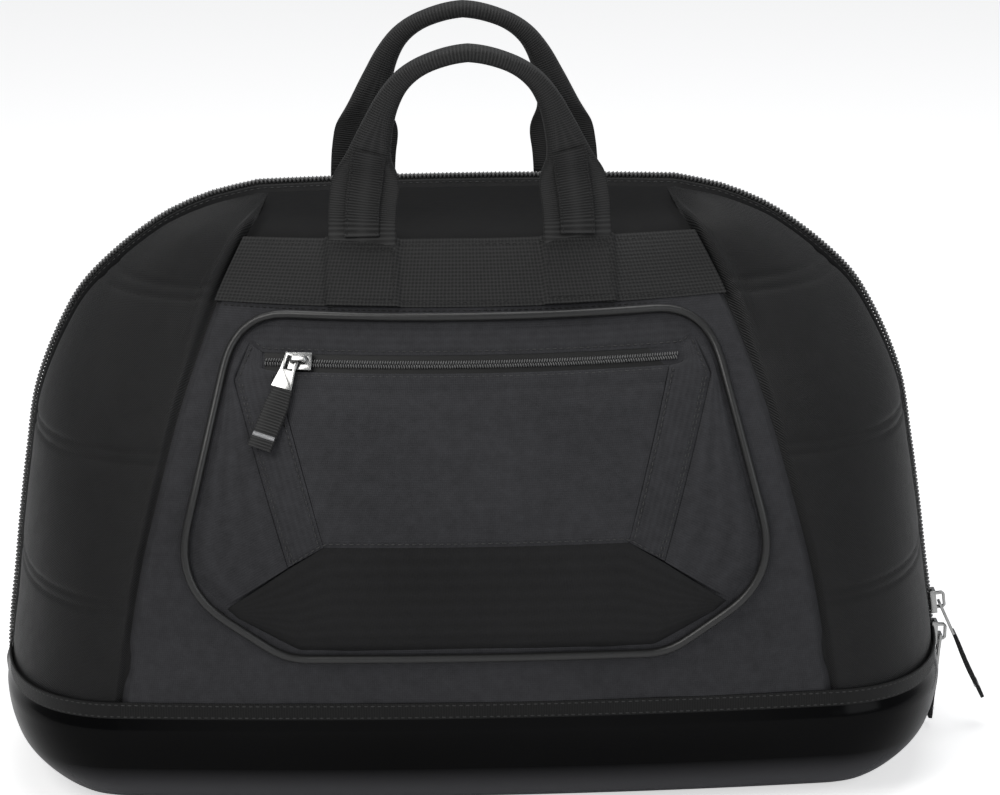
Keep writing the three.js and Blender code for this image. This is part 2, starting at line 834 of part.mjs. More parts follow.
// Closed rounded outline of the pocket for the piping.
function pipingPath() {
  const corners = [
    { x: pocketTopWidth / 2, height: pocketTop, radius: 25 },
    { x: pocketWideWidth / 2, height: pocketWide, radius: 30 },
    { x: pocketFootWidth / 2, height: pocketFoot, radius: 20 },
  ];
  const all = [...corners, ...corners.slice().reverse().map((c) => ({ ...c, x: -c.x }))];
  const path = new THREE.Path();
  all.forEach((turn, i) => {
    const here = new THREE.Vector2(turn.x, turn.height);
    const before = all[(i + all.length - 1) % all.length];
    const after = all[(i + 1) % all.length];
    const back = new THREE.Vector2(before.x, before.height).sub(here).normalize();
    const ahead = new THREE.Vector2(after.x, after.height).sub(here).normalize();
    const half = Math.acos(back.dot(ahead)) / 2;
    const reach = turn.radius / Math.tan(half);
    const start = here.clone().addScaledVector(back, reach);
    const end = here.clone().addScaledVector(ahead, reach);
    if (i === 0) {
      path.moveTo(start.x, start.y);
    } else {
      path.lineTo(start.x, start.y);
    }
    path.quadraticCurveTo(here.x, here.y, end.x, end.y);
  });
  path.closePath();
  return path;
}

function pipingGeometry() {
  const count = pipingSteps;
  const path = pipingPath();
  const centres = [];
  const ways = [];
  for (let i = 0; i < count; i += 1) {
    const p = path.getPointAt(i / count);
    centres.push(onPanel(p.x, p.y, pipingRadius + clearance + 0.1));
    ways.push(middleOut(p.x, p.y));
  }
  const sections = centres.map((centre, i) => {
    const run = centres[(i + 1) % count].clone().sub(centres[(i + count - 1) % count]).normalize();
    const side = run.clone().cross(ways[i]).normalize();
    const up = side.clone().cross(run).normalize();
    const loop = [];
    for (let k = 0; k < pipingSides; k += 1) {
      const angle = ((k + 0.5) / pipingSides) * 2 * Math.PI;
      const p = centre.clone().addScaledVector(side, Math.cos(angle) * pipingRadius);
      loop.push(p.addScaledVector(up, Math.sin(angle) * pipingRadius));
    }
    return loop;
  });
  return loftOver(sections, true);
}

// Strip of the pocket zip, to both sides of its middle line.
function pocketStrip(half, lift, wall) {
  const grid = (at) => [pocketZip - half, pocketZip + half].map((height) => {
    const line = [];
    for (let c = 0; c <= centreCells; c += 1) {
      line.push(onPanel(((2 * c) / centreCells - 1) * pocketZipHalf, height, at));
    }
    return line;
  });
  return wallBetween(grid(lift + wall), grid(lift));
}

// Sliders and pulls, in their own frame: u along the zip, v across it, w out of the surface.

// Slider whose plate rides on a coil with a lip down each side, and a bridge over its middle.
function sliderGeometry(coilAcross, coilTall) {
  const room = coilAcross / 2 + clearance;
  const under = coilTall - clearance;
  const section = new THREE.Shape();
  const outerHalf = sliderWidth / 2;
  section.moveTo(-outerHalf, -Math.min(under, sliderLip));
  section.lineTo(-outerHalf, sliderPlate);
  section.lineTo(outerHalf, sliderPlate);
  section.lineTo(outerHalf, -Math.min(under, sliderLip));
  section.lineTo(room, -Math.min(under, sliderLip));
  section.lineTo(room, 0);
  section.lineTo(-room, 0);
  section.lineTo(-room, -Math.min(under, sliderLip));
  section.closePath();
  const body = new THREE.ExtrudeGeometry(section, { depth: sliderLength, bevelEnabled: false });
  body.translate(0, 0, -sliderLength / 2);
  body.rotateX(Math.PI / 2);
  body.rotateZ(Math.PI / 2);
  const arch = new THREE.Shape();
  const foot = sliderPlate - 0.6;
  const top = sliderPlate + bridgeRoom + bridgeBar;
  const half = bridgeLength / 2;
  arch.moveTo(-half, foot);
  arch.lineTo(-half, top - bridgeBar);
  arch.lineTo(-half + bridgeBar, top);
  arch.lineTo(half - bridgeBar, top);
  arch.lineTo(half, top - bridgeBar);
  arch.lineTo(half, foot);
  arch.closePath();
  const hole = new THREE.Path();
  hole.moveTo(-half + bridgeBar, sliderPlate);
  hole.lineTo(half - bridgeBar, sliderPlate);
  hole.lineTo(half - bridgeBar, top - bridgeBar);
  hole.lineTo(-half + bridgeBar, top - bridgeBar);
  hole.closePath();
  arch.holes.push(hole);
  const bridge = new THREE.ExtrudeGeometry(arch, { depth: bridgeWidth, bevelEnabled: false });
  bridge.translate(0, 0, -bridgeWidth / 2);
  bridge.rotateX(Math.PI / 2);
  return fromManifold(toManifold(body).add(toManifold(bridge)));
}

// Height of the tab's cross bar above the slider's seat on the coil.
const barHeight = sliderPlate + bridgeRoom / 2;

// Pull tab hanging along -u from its cross bar at the origin.
function tabGeometry() {
  const shape = new THREE.Shape();
  const bar = tabThick / 2;
  const narrow = tabWidth / 2;
  const wide = tabEndWidth / 2;
  shape.moveTo(bar, -narrow);
  shape.lineTo(bar, narrow);
  shape.lineTo(-eyeLength, narrow);
  shape.lineTo(-tabLength, wide);
  shape.lineTo(-tabLength, -wide);
  shape.lineTo(-eyeLength, -narrow);
  shape.closePath();
  const hole = new THREE.Path();
  hole.moveTo(-bar, -eyeWidth / 2);
  hole.lineTo(-bar, eyeWidth / 2);
  hole.lineTo(-eyeLength, eyeWidth / 2);
  hole.lineTo(-eyeLength, -eyeWidth / 2);
  hole.closePath();
  shape.holes.push(hole);
  const geometry = new THREE.ExtrudeGeometry(shape, { depth: tabThick, bevelEnabled: false });
  geometry.translate(0, 0, -tabThick / 2);
  return geometry;
}

// Folded webbing grip below the tab.
function gripGeometry(length) {
  const shape = new THREE.Shape();
  const start = -tabLength - clearance;
  const end = start - length;
  const half = gripBand / 2;
  const cut = 1.5;
  shape.moveTo(start, -half);
  shape.lineTo(start, half);
  shape.lineTo(end + cut, half);
  shape.lineTo(end, half - cut);
  shape.lineTo(end, -half + cut);
  shape.lineTo(end + cut, -half);
  shape.closePath();
  const geometry = new THREE.ExtrudeGeometry(shape, { depth: gripCloth, bevelEnabled: false });
  geometry.translate(0, 0, -gripCloth / 2);
  return geometry;
}

const bag = new THREE.Group();

function addPiece(name, geometry, finish, parent = bag) {
  const material = new THREE.MeshStandardMaterial({ ...finishes[finish], flatShading: true });
  const mesh = new THREE.Mesh(geometry, material);
  mesh.name = name;
  parent.add(mesh);
  return mesh;
}

function addHalf(name, grids, finish) {
  addPiece(`${name}_front`, wallBetween(...grids), finish);
  addPiece(`${name}_back`, wallBetween(...mapGrids(grids, faceBack)), finish);
}

addPiece('boot', bootGeometry(), 'boot');
addHalf('boot_binding', bindingGrids(), 'trim');
addHalf('centre_panel', middlePanel(bootHeight, splitRow), 'panel');
addHalf('yoke_panel', middlePanel(splitRow, topHeight), 'panel');
addHalf('side_panel_right', sidePanel(), 'side');
addHalf('side_panel_left', mapGrids(sidePanel(), mirrorX), 'side');
addHalf('zip_gusset', gussetGrids(), 'panel');
addHalf('zip_tape', tapeGrids(), 'trim');
addPiece('zip_coil', wallBetween(...coilGrids()), 'coil');
addHalf('webbing_band', bandGrids(), 'webbing');

const handle = handleGeometry();
addPiece('handle_front', handle, 'webbing');
const backHandle = addPiece('handle_back', handle.clone(), 'webbing');
backHandle.rotation.z = Math.PI;

addPiece('pocket_top_strip', clothBetween(capUpper, capLower, centreCells + 2, 1), 'panel');
addPiece('pocket_flap', clothBetween(flapUpper, flapLower, centreCells, 4), 'panel');
addPiece('pocket_facet', clothBetween(creaseLine, facetFoot, 14, 3), 'panel');
for (const side of ['left', 'right']) {
  const turn = side === 'left' ? flipped : (edge) => edge;
  addPiece(`pocket_strip_${side}`, clothBetween(turn(stripOuter), turn(stripInner), 8, 1), 'panel');
  addPiece(`pocket_wing_${side}`, clothBetween(turn(wingInner), turn(wingOuter), 8, 2), 'panel');
}
addPiece('pocket_piping', pipingGeometry(), 'trim');
addPiece('pocket_zip_tape', pocketStrip(pocketTapeHalf, clearance, pocketTapeWall), 'trim');
const pocketCoilLift = 2 * clearance + pocketTapeWall;
addPiece('pocket_zip_coil', pocketStrip(pocketCoilWidth / 2, pocketCoilLift, pocketCoilHeight), 'coil');

// One slider with its tab and grip. The zip runs along u; w points out of the surface.
function addSlider(name, seat, coil, pull) {
  const across = seat.out.clone().cross(seat.along).normalize();
  const base = new THREE.Group();
  base.position.copy(seat.place).addScaledVector(seat.out, clearance);
  base.quaternion.setFromRotationMatrix(new THREE.Matrix4().makeBasis(seat.along, across, seat.out));
  bag.add(base);
  addPiece(`${name}_slider`, sliderGeometry(coil.width, coil.height), 'metal', base);
  const side = pull.out.clone().cross(pull.up).normalize();
  const hang = new THREE.Group();
  hang.position.copy(base.position).addScaledVector(seat.out, barHeight);
  hang.position.addScaledVector(seat.along, pull.alongShift).addScaledVector(pull.up, pull.upShift);
  hang.quaternion.setFromRotationMatrix(new THREE.Matrix4().makeBasis(pull.up, side, pull.out));
  bag.add(hang);
  addPiece(`${name}_tab`, tabGeometry(), 'metal', hang);
  addPiece(`${name}_grip`, gripGeometry(pull.gripLength), 'webbing', hang);
}

// Seat of a slider on the right side of the zip at a height above the floor.
function sideSeat(height) {
  const step = sliderLength / 2;
  const low = outlinePlace(height - step);
  const high = outlinePlace(height + step);
  const along = high.clone().sub(low).normalize();
  const out = vec(along.z, 0, -along.x);
  const middle = outlinePlace(height);
  const chord = low.add(high).multiplyScalar(0.5);
  return { place: middle.x > chord.x ? middle : chord, along, out };
}

function outlinePlace(height) {
  if (height <= bootHeight) {
    return vec(halfWidth - bootInset(height), 0, height);
  }
  let level = height;
  for (let i = 0; i < 8; i += 1) {
    level += height - rimAt(level).place.z;
  }
  return rimAt(level).place;
}

// A pull on the zip's right side, hung on the lower leg of its bridge and leaning out by an angle.
function sidePull(lean, gripLength) {
  const angle = THREE.MathUtils.degToRad(lean);
  const barReach = Math.hypot(tabThick, tabThick) / 2;
  return {
    up: vec(-Math.sin(angle), 0, Math.cos(angle)),
    out: vec(Math.cos(angle), 0, Math.sin(angle)),
    alongShift: -bridgeLength / 2 + bridgeBar + barReach + clearance,
    upShift: 0,
    gripLength,
  };
}

const mainCoil = { width: coilWidth, height: coilHeight };
addSlider('main_a', sideSeat(mainSliderHeight), mainCoil, sidePull(mainPullLean, mainGripLength));
addSlider('main_b', sideSeat(secondSliderHeight), mainCoil, sidePull(secondPullLean, secondGripLength));

// The pocket's pull hangs on the left leg of its bridge, flat to the pocket.
const pocketOut = middleOut(pocketSliderX, pocketZip);
const pocketRun = middlePoint(pocketSliderX + 1, pocketZip);
pocketRun.sub(middlePoint(pocketSliderX - 1, pocketZip)).normalize();
const pocketUp = pocketOut.clone().cross(pocketRun).normalize();
pocketUp.applyAxisAngle(pocketOut, -THREE.MathUtils.degToRad(pocketPullLean));
const pocketSeat = {
  place: onPanel(pocketSliderX, pocketZip, pocketCoilLift + pocketCoilHeight),
  along: pocketRun,
  out: pocketOut,
};
addSlider('pocket', pocketSeat, { width: pocketCoilWidth * pocketCoilRoom, height: pocketCoilHeight }, {
  up: pocketUp,
  out: pocketOut,
  alongShift: -bridgeLength / 2 + bridgeBar / 2,
  upShift: bridgeWidth / 2 + clearance + tabThick / 2,
  gripLength: pocketGripLength,
});

export default bag;
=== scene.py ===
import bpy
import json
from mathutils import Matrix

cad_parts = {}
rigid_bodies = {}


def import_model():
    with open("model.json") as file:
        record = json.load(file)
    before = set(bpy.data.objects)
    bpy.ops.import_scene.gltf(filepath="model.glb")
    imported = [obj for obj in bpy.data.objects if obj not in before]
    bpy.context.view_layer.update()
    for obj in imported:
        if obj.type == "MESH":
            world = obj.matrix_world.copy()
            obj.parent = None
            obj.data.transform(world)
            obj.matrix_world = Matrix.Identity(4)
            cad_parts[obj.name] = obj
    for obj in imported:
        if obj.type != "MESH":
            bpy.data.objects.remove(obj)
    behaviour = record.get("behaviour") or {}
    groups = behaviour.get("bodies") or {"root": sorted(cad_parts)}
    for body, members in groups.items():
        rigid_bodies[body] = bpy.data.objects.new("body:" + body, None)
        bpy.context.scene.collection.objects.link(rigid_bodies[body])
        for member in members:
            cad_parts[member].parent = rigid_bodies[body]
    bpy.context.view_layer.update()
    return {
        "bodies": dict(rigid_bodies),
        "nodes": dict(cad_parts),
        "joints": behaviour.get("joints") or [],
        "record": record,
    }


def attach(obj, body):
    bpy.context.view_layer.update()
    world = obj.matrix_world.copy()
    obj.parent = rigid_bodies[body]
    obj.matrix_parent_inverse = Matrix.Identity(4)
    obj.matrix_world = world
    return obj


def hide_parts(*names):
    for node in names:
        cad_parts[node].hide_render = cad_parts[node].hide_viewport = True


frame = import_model()

import json
import math

import bpy
import numpy as np
from mathutils import Matrix, Vector, noise

# Motorcycle helmet bag. Metres, +Z up, the pocket faces -Y, the zip runs over the top on y = 0.

mm = 0.001

bag = {
    "halfWidth": 245 * mm, "height": 304 * mm, "halfDepth": 142.5 * mm,
    "bootHeight": 57 * mm, "footInset": 34 * mm,
    "stripHalf": 15 * mm, "stripDrop": 4.5 * mm, "near": 0.01 * mm,
    # level, depth, fall to the seam, seam half width, rim half width, rim height, fullness: as shares
    "stations": [
        (0.1875, 0.947, 0.07, 0.731, 1, 0.1875, 0.9),
        (0.257, 0.972, 0.077, 0.718, 0.993, 0.247, 0.9),
        (0.329, 0.995, 0.084, 0.704, 0.982, 0.313, 0.89),
        (0.434, 1, 0.095, 0.68, 0.967, 0.415, 0.87),
        (0.553, 0.965, 0.112, 0.643, 0.947, 0.53, 0.85),
        (0.678, 0.877, 0.14, 0.6, 0.92, 0.651, 0.82),
        (0.79, 0.751, 0.16, 0.549, 0.855, 0.773, 0.78),
        (0.862, 0.649, 0.16, 0.51, 0.788, 0.847, 0.74),
        (0.931, 0.498, 0.1, 0.465, 0.653, 0.934, 0.7),
        (0.96, 0.351, 0.05, 0.441, 0.547, 0.9737, 0.66),
        (1 - 4.5 / 304, 30 / 285, 0, 0.417, 0.439, 0.9943, 0.6),
    ],
    "channels": [0.365 * 304 * mm, 0.615 * 304 * mm, 0.868 * 304 * mm],
    "bootStations": [(0, 1), (0.07, 0.66), (0.21, 0.38), (0.42, 0.17), (0.67, 0.04), (1, 0)],
}
topHeight = bag["height"] - bag["stripDrop"]


# Small tools

def pick(obj):
    bpy.ops.object.select_all(action="DESELECT")
    obj.select_set(True)
    bpy.context.view_layer.objects.active = obj


def smoothTrack(table, column, at):
    i = 0
    while i < len(table) - 2 and at > table[i + 1][0]:
        i += 1
    span = table[i + 1][0] - table[i][0]

    def slope(j):
        low = table[max(j - 1, 0)]
        high = table[min(j + 1, len(table) - 1)]
        return (high[column] - low[column]) / (high[0] - low[0])

    t = (at - table[i][0]) / span
    a, b = table[i][column], table[i + 1][column]
    ends = a * (2 * t**3 - 3 * t**2 + 1) + b * (3 * t**2 - 2 * t**3)
    return ends + span * (slope(i) * (t**3 - 2 * t**2 + t) + slope(i + 1) * (t**3 - t**2))


# Body surface, the same form as the solids have

knownRows = {}


def rowAt(height):
    key = round(height, 6)
    if key not in knownRows:
        at = height / bag["height"]
        depth, fall, seam, rimX, rimZ, full = (smoothTrack(bag["stations"], c, at) for c in range(1, 7))
        knownRows[key] = (depth * bag["halfDepth"], fall * bag["halfDepth"], seam * bag["halfWidth"],
                          rimX * bag["halfWidth"], rimZ * bag["height"], full)
    return knownRows[key]


topSag = bag["height"] - rowAt(topHeight)[4]
topReach = rowAt(topHeight)[3]
bandTop = 283 * mm


def topOut(x):
    return Vector((2 * topSag * x / topReach**2, 0, 1)).normalized()


def rimAt(height):
    step = 0.5 * mm
    here = rowAt(height)
    low, high = rowAt(max(height - step, bag["bootHeight"])), rowAt(min(height + step, topHeight))
    out = Vector((high[4] - low[4], 0, low[3] - high[3])).normalized()
    if height <= bag["bootHeight"] + bag["near"]:
        out = Vector((1, 0, 0))
    if height >= topHeight - bag["near"]:
        out = topOut(here[3])
    return Vector((here[3], 0, here[4])), out


def middlePoint(x, height):
    depth, fall, seam = rowAt(height)[:3]
    share = x / seam
    sag = topSag * (height - bandTop) / (topHeight - bandTop) if height > bandTop else 0
    return Vector((x, -(depth - fall * share * share), height - sag * share * share))


def sidePoint(t, height):
    row = rowAt(height)
    seam = middlePoint(row[2], height)
    place, out = rimAt(height)
    edge = place - out * bag["stripDrop"]
    edge.y = -bag["stripHalf"]
    middle = (seam + edge) / 2
    pull = middle.lerp(Vector((edge.x, seam.y, middle.z)), row[5])
    return seam * (1 - t)**2 + pull * 2 * t * (1 - t) + edge * t**2


def outOf(surface, u, v, stepU, stepV):
    low, high = max(v - stepV, bag["bootHeight"]), min(v + stepV, topHeight)
    across = surface(u + stepU, v) - surface(u - stepU, v)
    return across.cross(surface(u, high) - surface(u, low)).normalized()


def middleOut(x, height):
    return outOf(middlePoint, x, height, 2 * mm, 1.5 * mm)


def sideOut(t, height):
    return outOf(sidePoint, min(max(t, 0.02), 0.98), height, 0.02, 1.5 * mm)


def onMiddle(x, height, lift=0.0):
    return middlePoint(x, height) + middleOut(x, height) * lift


def onSide(t, height, lift=0.0):
    return sidePoint(t, height) + sideOut(t, height) * lift


def smoothStep(low, high, value):
    t = min(max((value - low) / (high - low), 0), 1)
    return t * t * (3 - 2 * t)


# Making and finishing meshes

# where each vertex of a sheet lies on it, from 0 to 1 both ways
sheetPlaces = {}


def gridSheet(name, columns, rows, place, size, gather=0.0):
    bpy.ops.object.select_all(action="DESELECT")
    bpy.ops.mesh.primitive_grid_add(x_subdivisions=columns, y_subdivisions=rows, size=2)
    sheet = bpy.context.active_object
    sheet.name = sheet.data.name = name
    mesh = sheet.data
    flat = []
    for vertex in mesh.vertices:
        u, v = 0.5 + 0.5 * vertex.co.x, 0.5 + 0.5 * vertex.co.y
        # gathered columns stand closer together at both ends of a row
        flat.append((u - gather * math.sin(2 * math.pi * u) / (2 * math.pi), v))
    sheetPlaces[name] = flat
    for vertex, (u, v) in zip(mesh.vertices, flat):
        vertex.co = place(u, v)
    mesh.update()
    layer = mesh.uv_layers.active.data
    for loop in mesh.loops:
        u, v = flat[loop.vertex_index]
        layer[loop.index].uv = (u * size[0], v * size[1])
    return sheet


def faceOut(obj, outward):
    mesh = obj.data
    facing = sum(p.normal.dot(outward(p.center)) * p.area for p in mesh.polygons)
    if facing < 0:
        mesh.flip_normals()


def apply(obj, kind, **settings):
    pick(obj)
    modifier = obj.modifiers.new(kind.lower(), kind)
    for key, value in settings.items():
        setattr(modifier, key, value)
    bpy.ops.object.modifier_apply(modifier=modifier.name)


def thicken(obj, wall):
    apply(obj, "SOLIDIFY", thickness=wall, offset=-1, use_even_offset=False)


def soften(obj, angle=40):
    pick(obj)
    bpy.ops.object.shade_smooth_by_angle(angle=math.radians(angle), keep_sharp_edges=False)


def holdAndSmooth(obj, rounds=12, endEdge=0.01, sideEdge=0.02):
    places = sheetPlaces[obj.name]
    inner = [i for i, (u, v) in enumerate(places)
             if endEdge < u < 1 - endEdge and sideEdge < v < 1 - sideEdge]
    group = obj.vertex_groups.new(name="loose")
    group.add(inner, 1, "REPLACE")
    apply(obj, "SMOOTH", factor=0.5, iterations=rounds, vertex_group="loose")
    obj.vertex_groups.clear()


# Air pressure in the closed cloth: held points stay, and the rest may rise up to a limit
def puffCloth(obj, held, limit, pressure=4, lastStep=20):
    before = [v.co.copy() for v in obj.data.vertices]
    outer = sheetPlaces[obj.name]
    fixed = [i for i in range(len(before)) if i >= len(outer) or held(*outer[i])]
    group = obj.vertex_groups.new(name="held")
    group.add(fixed, 1, "REPLACE")
    pick(obj)
    cloth = obj.modifiers.new("puff", "CLOTH")
    cloth.settings.quality = 4
    cloth.settings.use_pressure = True
    cloth.settings.uniform_pressure_force = pressure
    cloth.settings.vertex_group_mass = "held"
    cloth.settings.effector_weights.gravity = 0
    for step in range(1, lastStep + 1):
        bpy.context.scene.frame_set(step)
    bpy.ops.object.modifier_apply(modifier="puff")
    bpy.context.scene.frame_set(1)
    moved = 0
    for vertex, start in zip(obj.data.vertices, before):
        shift = vertex.co - start
        if shift.length > 1e-7:
            moved = max(moved, shift.length)
            vertex.co = start + shift.normalized() * limit * (1 - math.exp(-shift.length / limit))
    obj.vertex_groups.clear()
    print(f"  {obj.name} puffed, {moved / mm:.1f} mm before the limit")


def mirrored(obj, name, flipX=False, flipY=False):
    copy = obj.copy()
    copy.data = obj.data.copy()
    copy.name = copy.data.name = name
    bpy.context.scene.collection.objects.link(copy)
    copy.data.transform(Matrix.Diagonal((-1 if flipX else 1, -1 if flipY else 1, 1, 1)))
    if flipX != flipY:
        copy.data.flip_normals()
    return copy


def finishPiece(obj, material, nodes=(), body="root"):
    obj.data.materials.clear()
    obj.data.materials.append(material)
    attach(obj, body)
    if nodes:
        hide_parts(*nodes)


# Shader maths as expressions

class Wire:
    def __init__(self, shader, socket):
        self.shader, self.socket = shader, socket

    def maths(self, operation, other=None, swap=False):
        values = (other, self) if swap else (self, other)
        inputs = {i: v for i, v in enumerate(values) if v is not None}
        return self.shader.node("ShaderNodeMath", {"operation": operation}, inputs)

    def __add__(self, other):
        return self.maths("ADD", other)

    def __sub__(self, other):
        return self.maths("SUBTRACT", other)

    def __rsub__(self, other):
        return self.maths("SUBTRACT", other, swap=True)

    def __mul__(self, other):
        return self.maths("MULTIPLY", other)

    def __truediv__(self, other):
        return self.maths("DIVIDE", other)

    def __pow__(self, other):
        return self.maths("POWER", other)

    def sine(self):
        return self.maths("SINE")

    def most(self, other):
        return self.maths("MAXIMUM", other)

    def wave(self, step):
        return (self * (2 * math.pi / step)).sine() * 0.5 + 0.5


class Shader:
    def __init__(self, name, **surface):
        self.material = bpy.data.materials.new(name)
        self.material.use_nodes = True
        self.tree = self.material.node_tree
        self.surface = self.tree.nodes["Principled BSDF"]
        for key, value in surface.items():
            self.surface.inputs[key.replace("_", " ")].default_value = value

    def node(self, kind, settings=None, inputs=None, output=0):
        made = self.tree.nodes.new(kind)
        for key, value in (settings or {}).items():
            setattr(made, key, value)
        for key, value in (inputs or {}).items():
            if isinstance(value, Wire):
                self.tree.links.new(value.socket, made.inputs[key])
            else:
                made.inputs[key].default_value = value
        return Wire(self, made.outputs[output])

    def set(self, key, wire):
        self.tree.links.new(wire.socket, self.surface.inputs[key])

    def place(self):
        return self.node("ShaderNodeTexCoord", output="Object")

    def axes(self, vector):
        split = self.tree.nodes.new("ShaderNodeSeparateXYZ")
        self.tree.links.new(vector.socket, split.inputs[0])
        return [Wire(self, axis) for axis in split.outputs]

    def cloth(self):
        return self.axes(self.node("ShaderNodeUVMap"))[:2]

    def grain(self, size, detail=2.0):
        inputs = {"Vector": self.place(), "Scale": 1 / size, "Detail": detail}
        return self.node("ShaderNodeTexNoise", None, inputs, output="Fac")

    def mix(self, share, first, second):
        made = self.tree.nodes.new("ShaderNodeMix")
        made.data_type = "RGBA"
        self.tree.links.new(share.socket, made.inputs["Factor"])
        for key, value in (("A", first), ("B", second)):
            socket = [s for s in made.inputs if s.name == key and s.type == "RGBA"][0]
            if isinstance(value, Wire):
                self.tree.links.new(value.socket, socket)
            else:
                socket.default_value = value
        return Wire(self, [s for s in made.outputs if s.type == "RGBA"][0])

    def bump(self, height, distance, strength):
        inputs = {"Height": height, "Distance": distance, "Strength": strength}
        self.set("Normal", self.node("ShaderNodeBump", None, inputs))


def grey(value, blue=0.0):
    return (value, value, value + blue, 1)


# Camera, floor and lights

view = {
    "elevation": 14.2, "turn": -1.4, "roll": -0.6, "distance": 2.315, "lens": 159.4,
    "target": (16 * mm, 0, 183.7 * mm), "sensor": 36,
    "floorSize": 8, "floorColour": (0.86, 0.86, 0.865, 1), "floorPale": (0.88, 0.88, 0.885, 1),
    "floorGlow": 0.62, "floorPatch": 0.9, "lampAim": (0, 0, 0.15),
    "skyStrength": 0.2, "skyColour": (0.95, 0.97, 1, 1),
}
lamps = [
    # name, place, size, power, colour
    ("keyLight", (-1.3, -1.5, 1.9), 1.3, 24, (1, 0.99, 0.97)),
    ("fillLight", (1.7, -1.6, 1.1), 1.5, 11, (0.96, 0.98, 1)),
    ("topLight", (0.1, 0.35, 2.1), 1.6, 20, (1, 1, 1)),
    ("lowLight", (0, -2.2, 0.35), 1.4, 3, (1, 1, 1)),
]


def setStage():
    bpy.ops.object.select_all(action="DESELECT")
    bpy.ops.mesh.primitive_plane_add(size=view["floorSize"])
    floor = bpy.context.active_object
    floor.name = "studio_floor"
    paint = Shader("floorPaint", Roughness=0.6, Emission_Strength=view["floorGlow"])
    shade = paint.grain(view["floorPatch"], 3)
    # the floor glows to the eye alone and throws no light on the bag
    seen = paint.node("ShaderNodeLightPath")
    paint.set("Emission Color", paint.mix(seen, grey(0), grey(1)))
    paint.set("Base Color", paint.mix(shade, view["floorColour"], view["floorPale"]))
    floor.data.materials.append(paint.material)

    a, e = math.radians(view["turn"]), math.radians(view["elevation"])
    aim = Vector(view["target"])
    back = Vector((math.sin(a) * math.cos(e), -math.cos(a) * math.cos(e), math.sin(e)))
    eye = bpy.data.cameras.new("photoCamera")
    eye.lens = view["lens"]
    eye.sensor_width = view["sensor"]
    camera = bpy.data.objects.new("photoCamera", eye)
    bpy.context.scene.collection.objects.link(camera)
    camera.location = aim + back * view["distance"]
    camera.rotation_euler = (back.to_track_quat("Z", "Y").to_matrix()
                             @ Matrix.Rotation(math.radians(view["roll"]), 3, "Z")).to_euler()
    bpy.context.scene.camera = camera

    for name, place, size, power, colour in lamps:
        lamp = bpy.data.lights.new(name, "AREA")
        lamp.size, lamp.energy, lamp.color = size, power, colour
        holder = bpy.data.objects.new(name, lamp)
        bpy.context.scene.collection.objects.link(holder)
        holder.location = place
        holder.rotation_euler = (Vector(place) - Vector(view["lampAim"])).to_track_quat("Z", "Y").to_euler()
    world = bpy.data.worlds.new("studioAir")
    world.use_nodes = True
    tree = world.node_tree
    tree.nodes["Background"].inputs[0].default_value = view["skyColour"]
    tree.nodes["Background"].inputs[1].default_value = view["skyStrength"]
    # the sky is white to the eye and dim as a light, so that the dark cloth keeps its depth
    white = tree.nodes.new("ShaderNodeBackground")
    rays, blend = tree.nodes.new("ShaderNodeLightPath"), tree.nodes.new("ShaderNodeMixShader")
    tree.links.new(rays.outputs["Is Camera Ray"], blend.inputs[0])
    tree.links.new(tree.nodes["Background"].outputs[0], blend.inputs[1])
    tree.links.new(white.outputs[0], blend.inputs[2])
    tree.links.new(blend.outputs[0], tree.nodes["World Output"].inputs[0])
    bpy.context.scene.world = world
    bpy.context.scene.view_settings.view_transform = "Standard"


print("stage and camera")
setStage()


# Materials

def wovenCloth(name, dark, light, thread, depth, roughness, sheen=0.06, contrast=1.0, shine=0.25):
    cloth = Shader(name, Roughness=roughness, Sheen_Weight=sheen, Sheen_Roughness=0.45,
                   Specular_IOR_Level=shine)
    u, v = cloth.cloth()
    warp = (u / thread).maths("PINGPONG", 1)
    weft = (v / thread).maths("PINGPONG", 1)
    weave = warp * 0.5 + weft * 0.5
    slub = cloth.grain(0.9 * mm, 3)
    patchy = cloth.grain(5 * mm, 4)
    broad = cloth.grain(60 * mm, 3)
    tone = weave * 0.35 + slub * 0.5 + (patchy - 0.5) * contrast * 0.7 + broad * 0.45 - 0.15
    cloth.set("Base Color", cloth.mix(tone, dark, light))
    cloth.set("Roughness", patchy * 0.14 + (roughness - 0.07))
    cloth.bump(weave + slub * 0.8 + patchy * 0.6, depth, 0.8)
    return cloth.material


def twillCloth(name, dark, light, thread, depth, roughness):
    cloth = Shader(name, Roughness=roughness, Sheen_Weight=0.04, Sheen_Roughness=0.35,
                   Specular_IOR_Level=0.3)
    u, v = cloth.cloth()
    slant = (u + v * 0.9).wave(thread * 1.9)
    across = v.wave(thread)
    slub = cloth.grain(1.0 * mm, 3)
    patchy = cloth.grain(9 * mm, 4)
    broad = cloth.grain(70 * mm, 3)
    weave = slant * 0.7 + across * 0.3
    tone = weave * 0.8 + slub * 0.3 + (patchy - 0.5) * 0.5 + broad * 0.4 - 0.3
    cloth.set("Base Color", cloth.mix(tone, dark, light))
    cloth.set("Roughness", patchy * 0.16 + (roughness - 0.08))
    cloth.bump(weave + slub * 0.4, depth, 1.0)
    return cloth.material


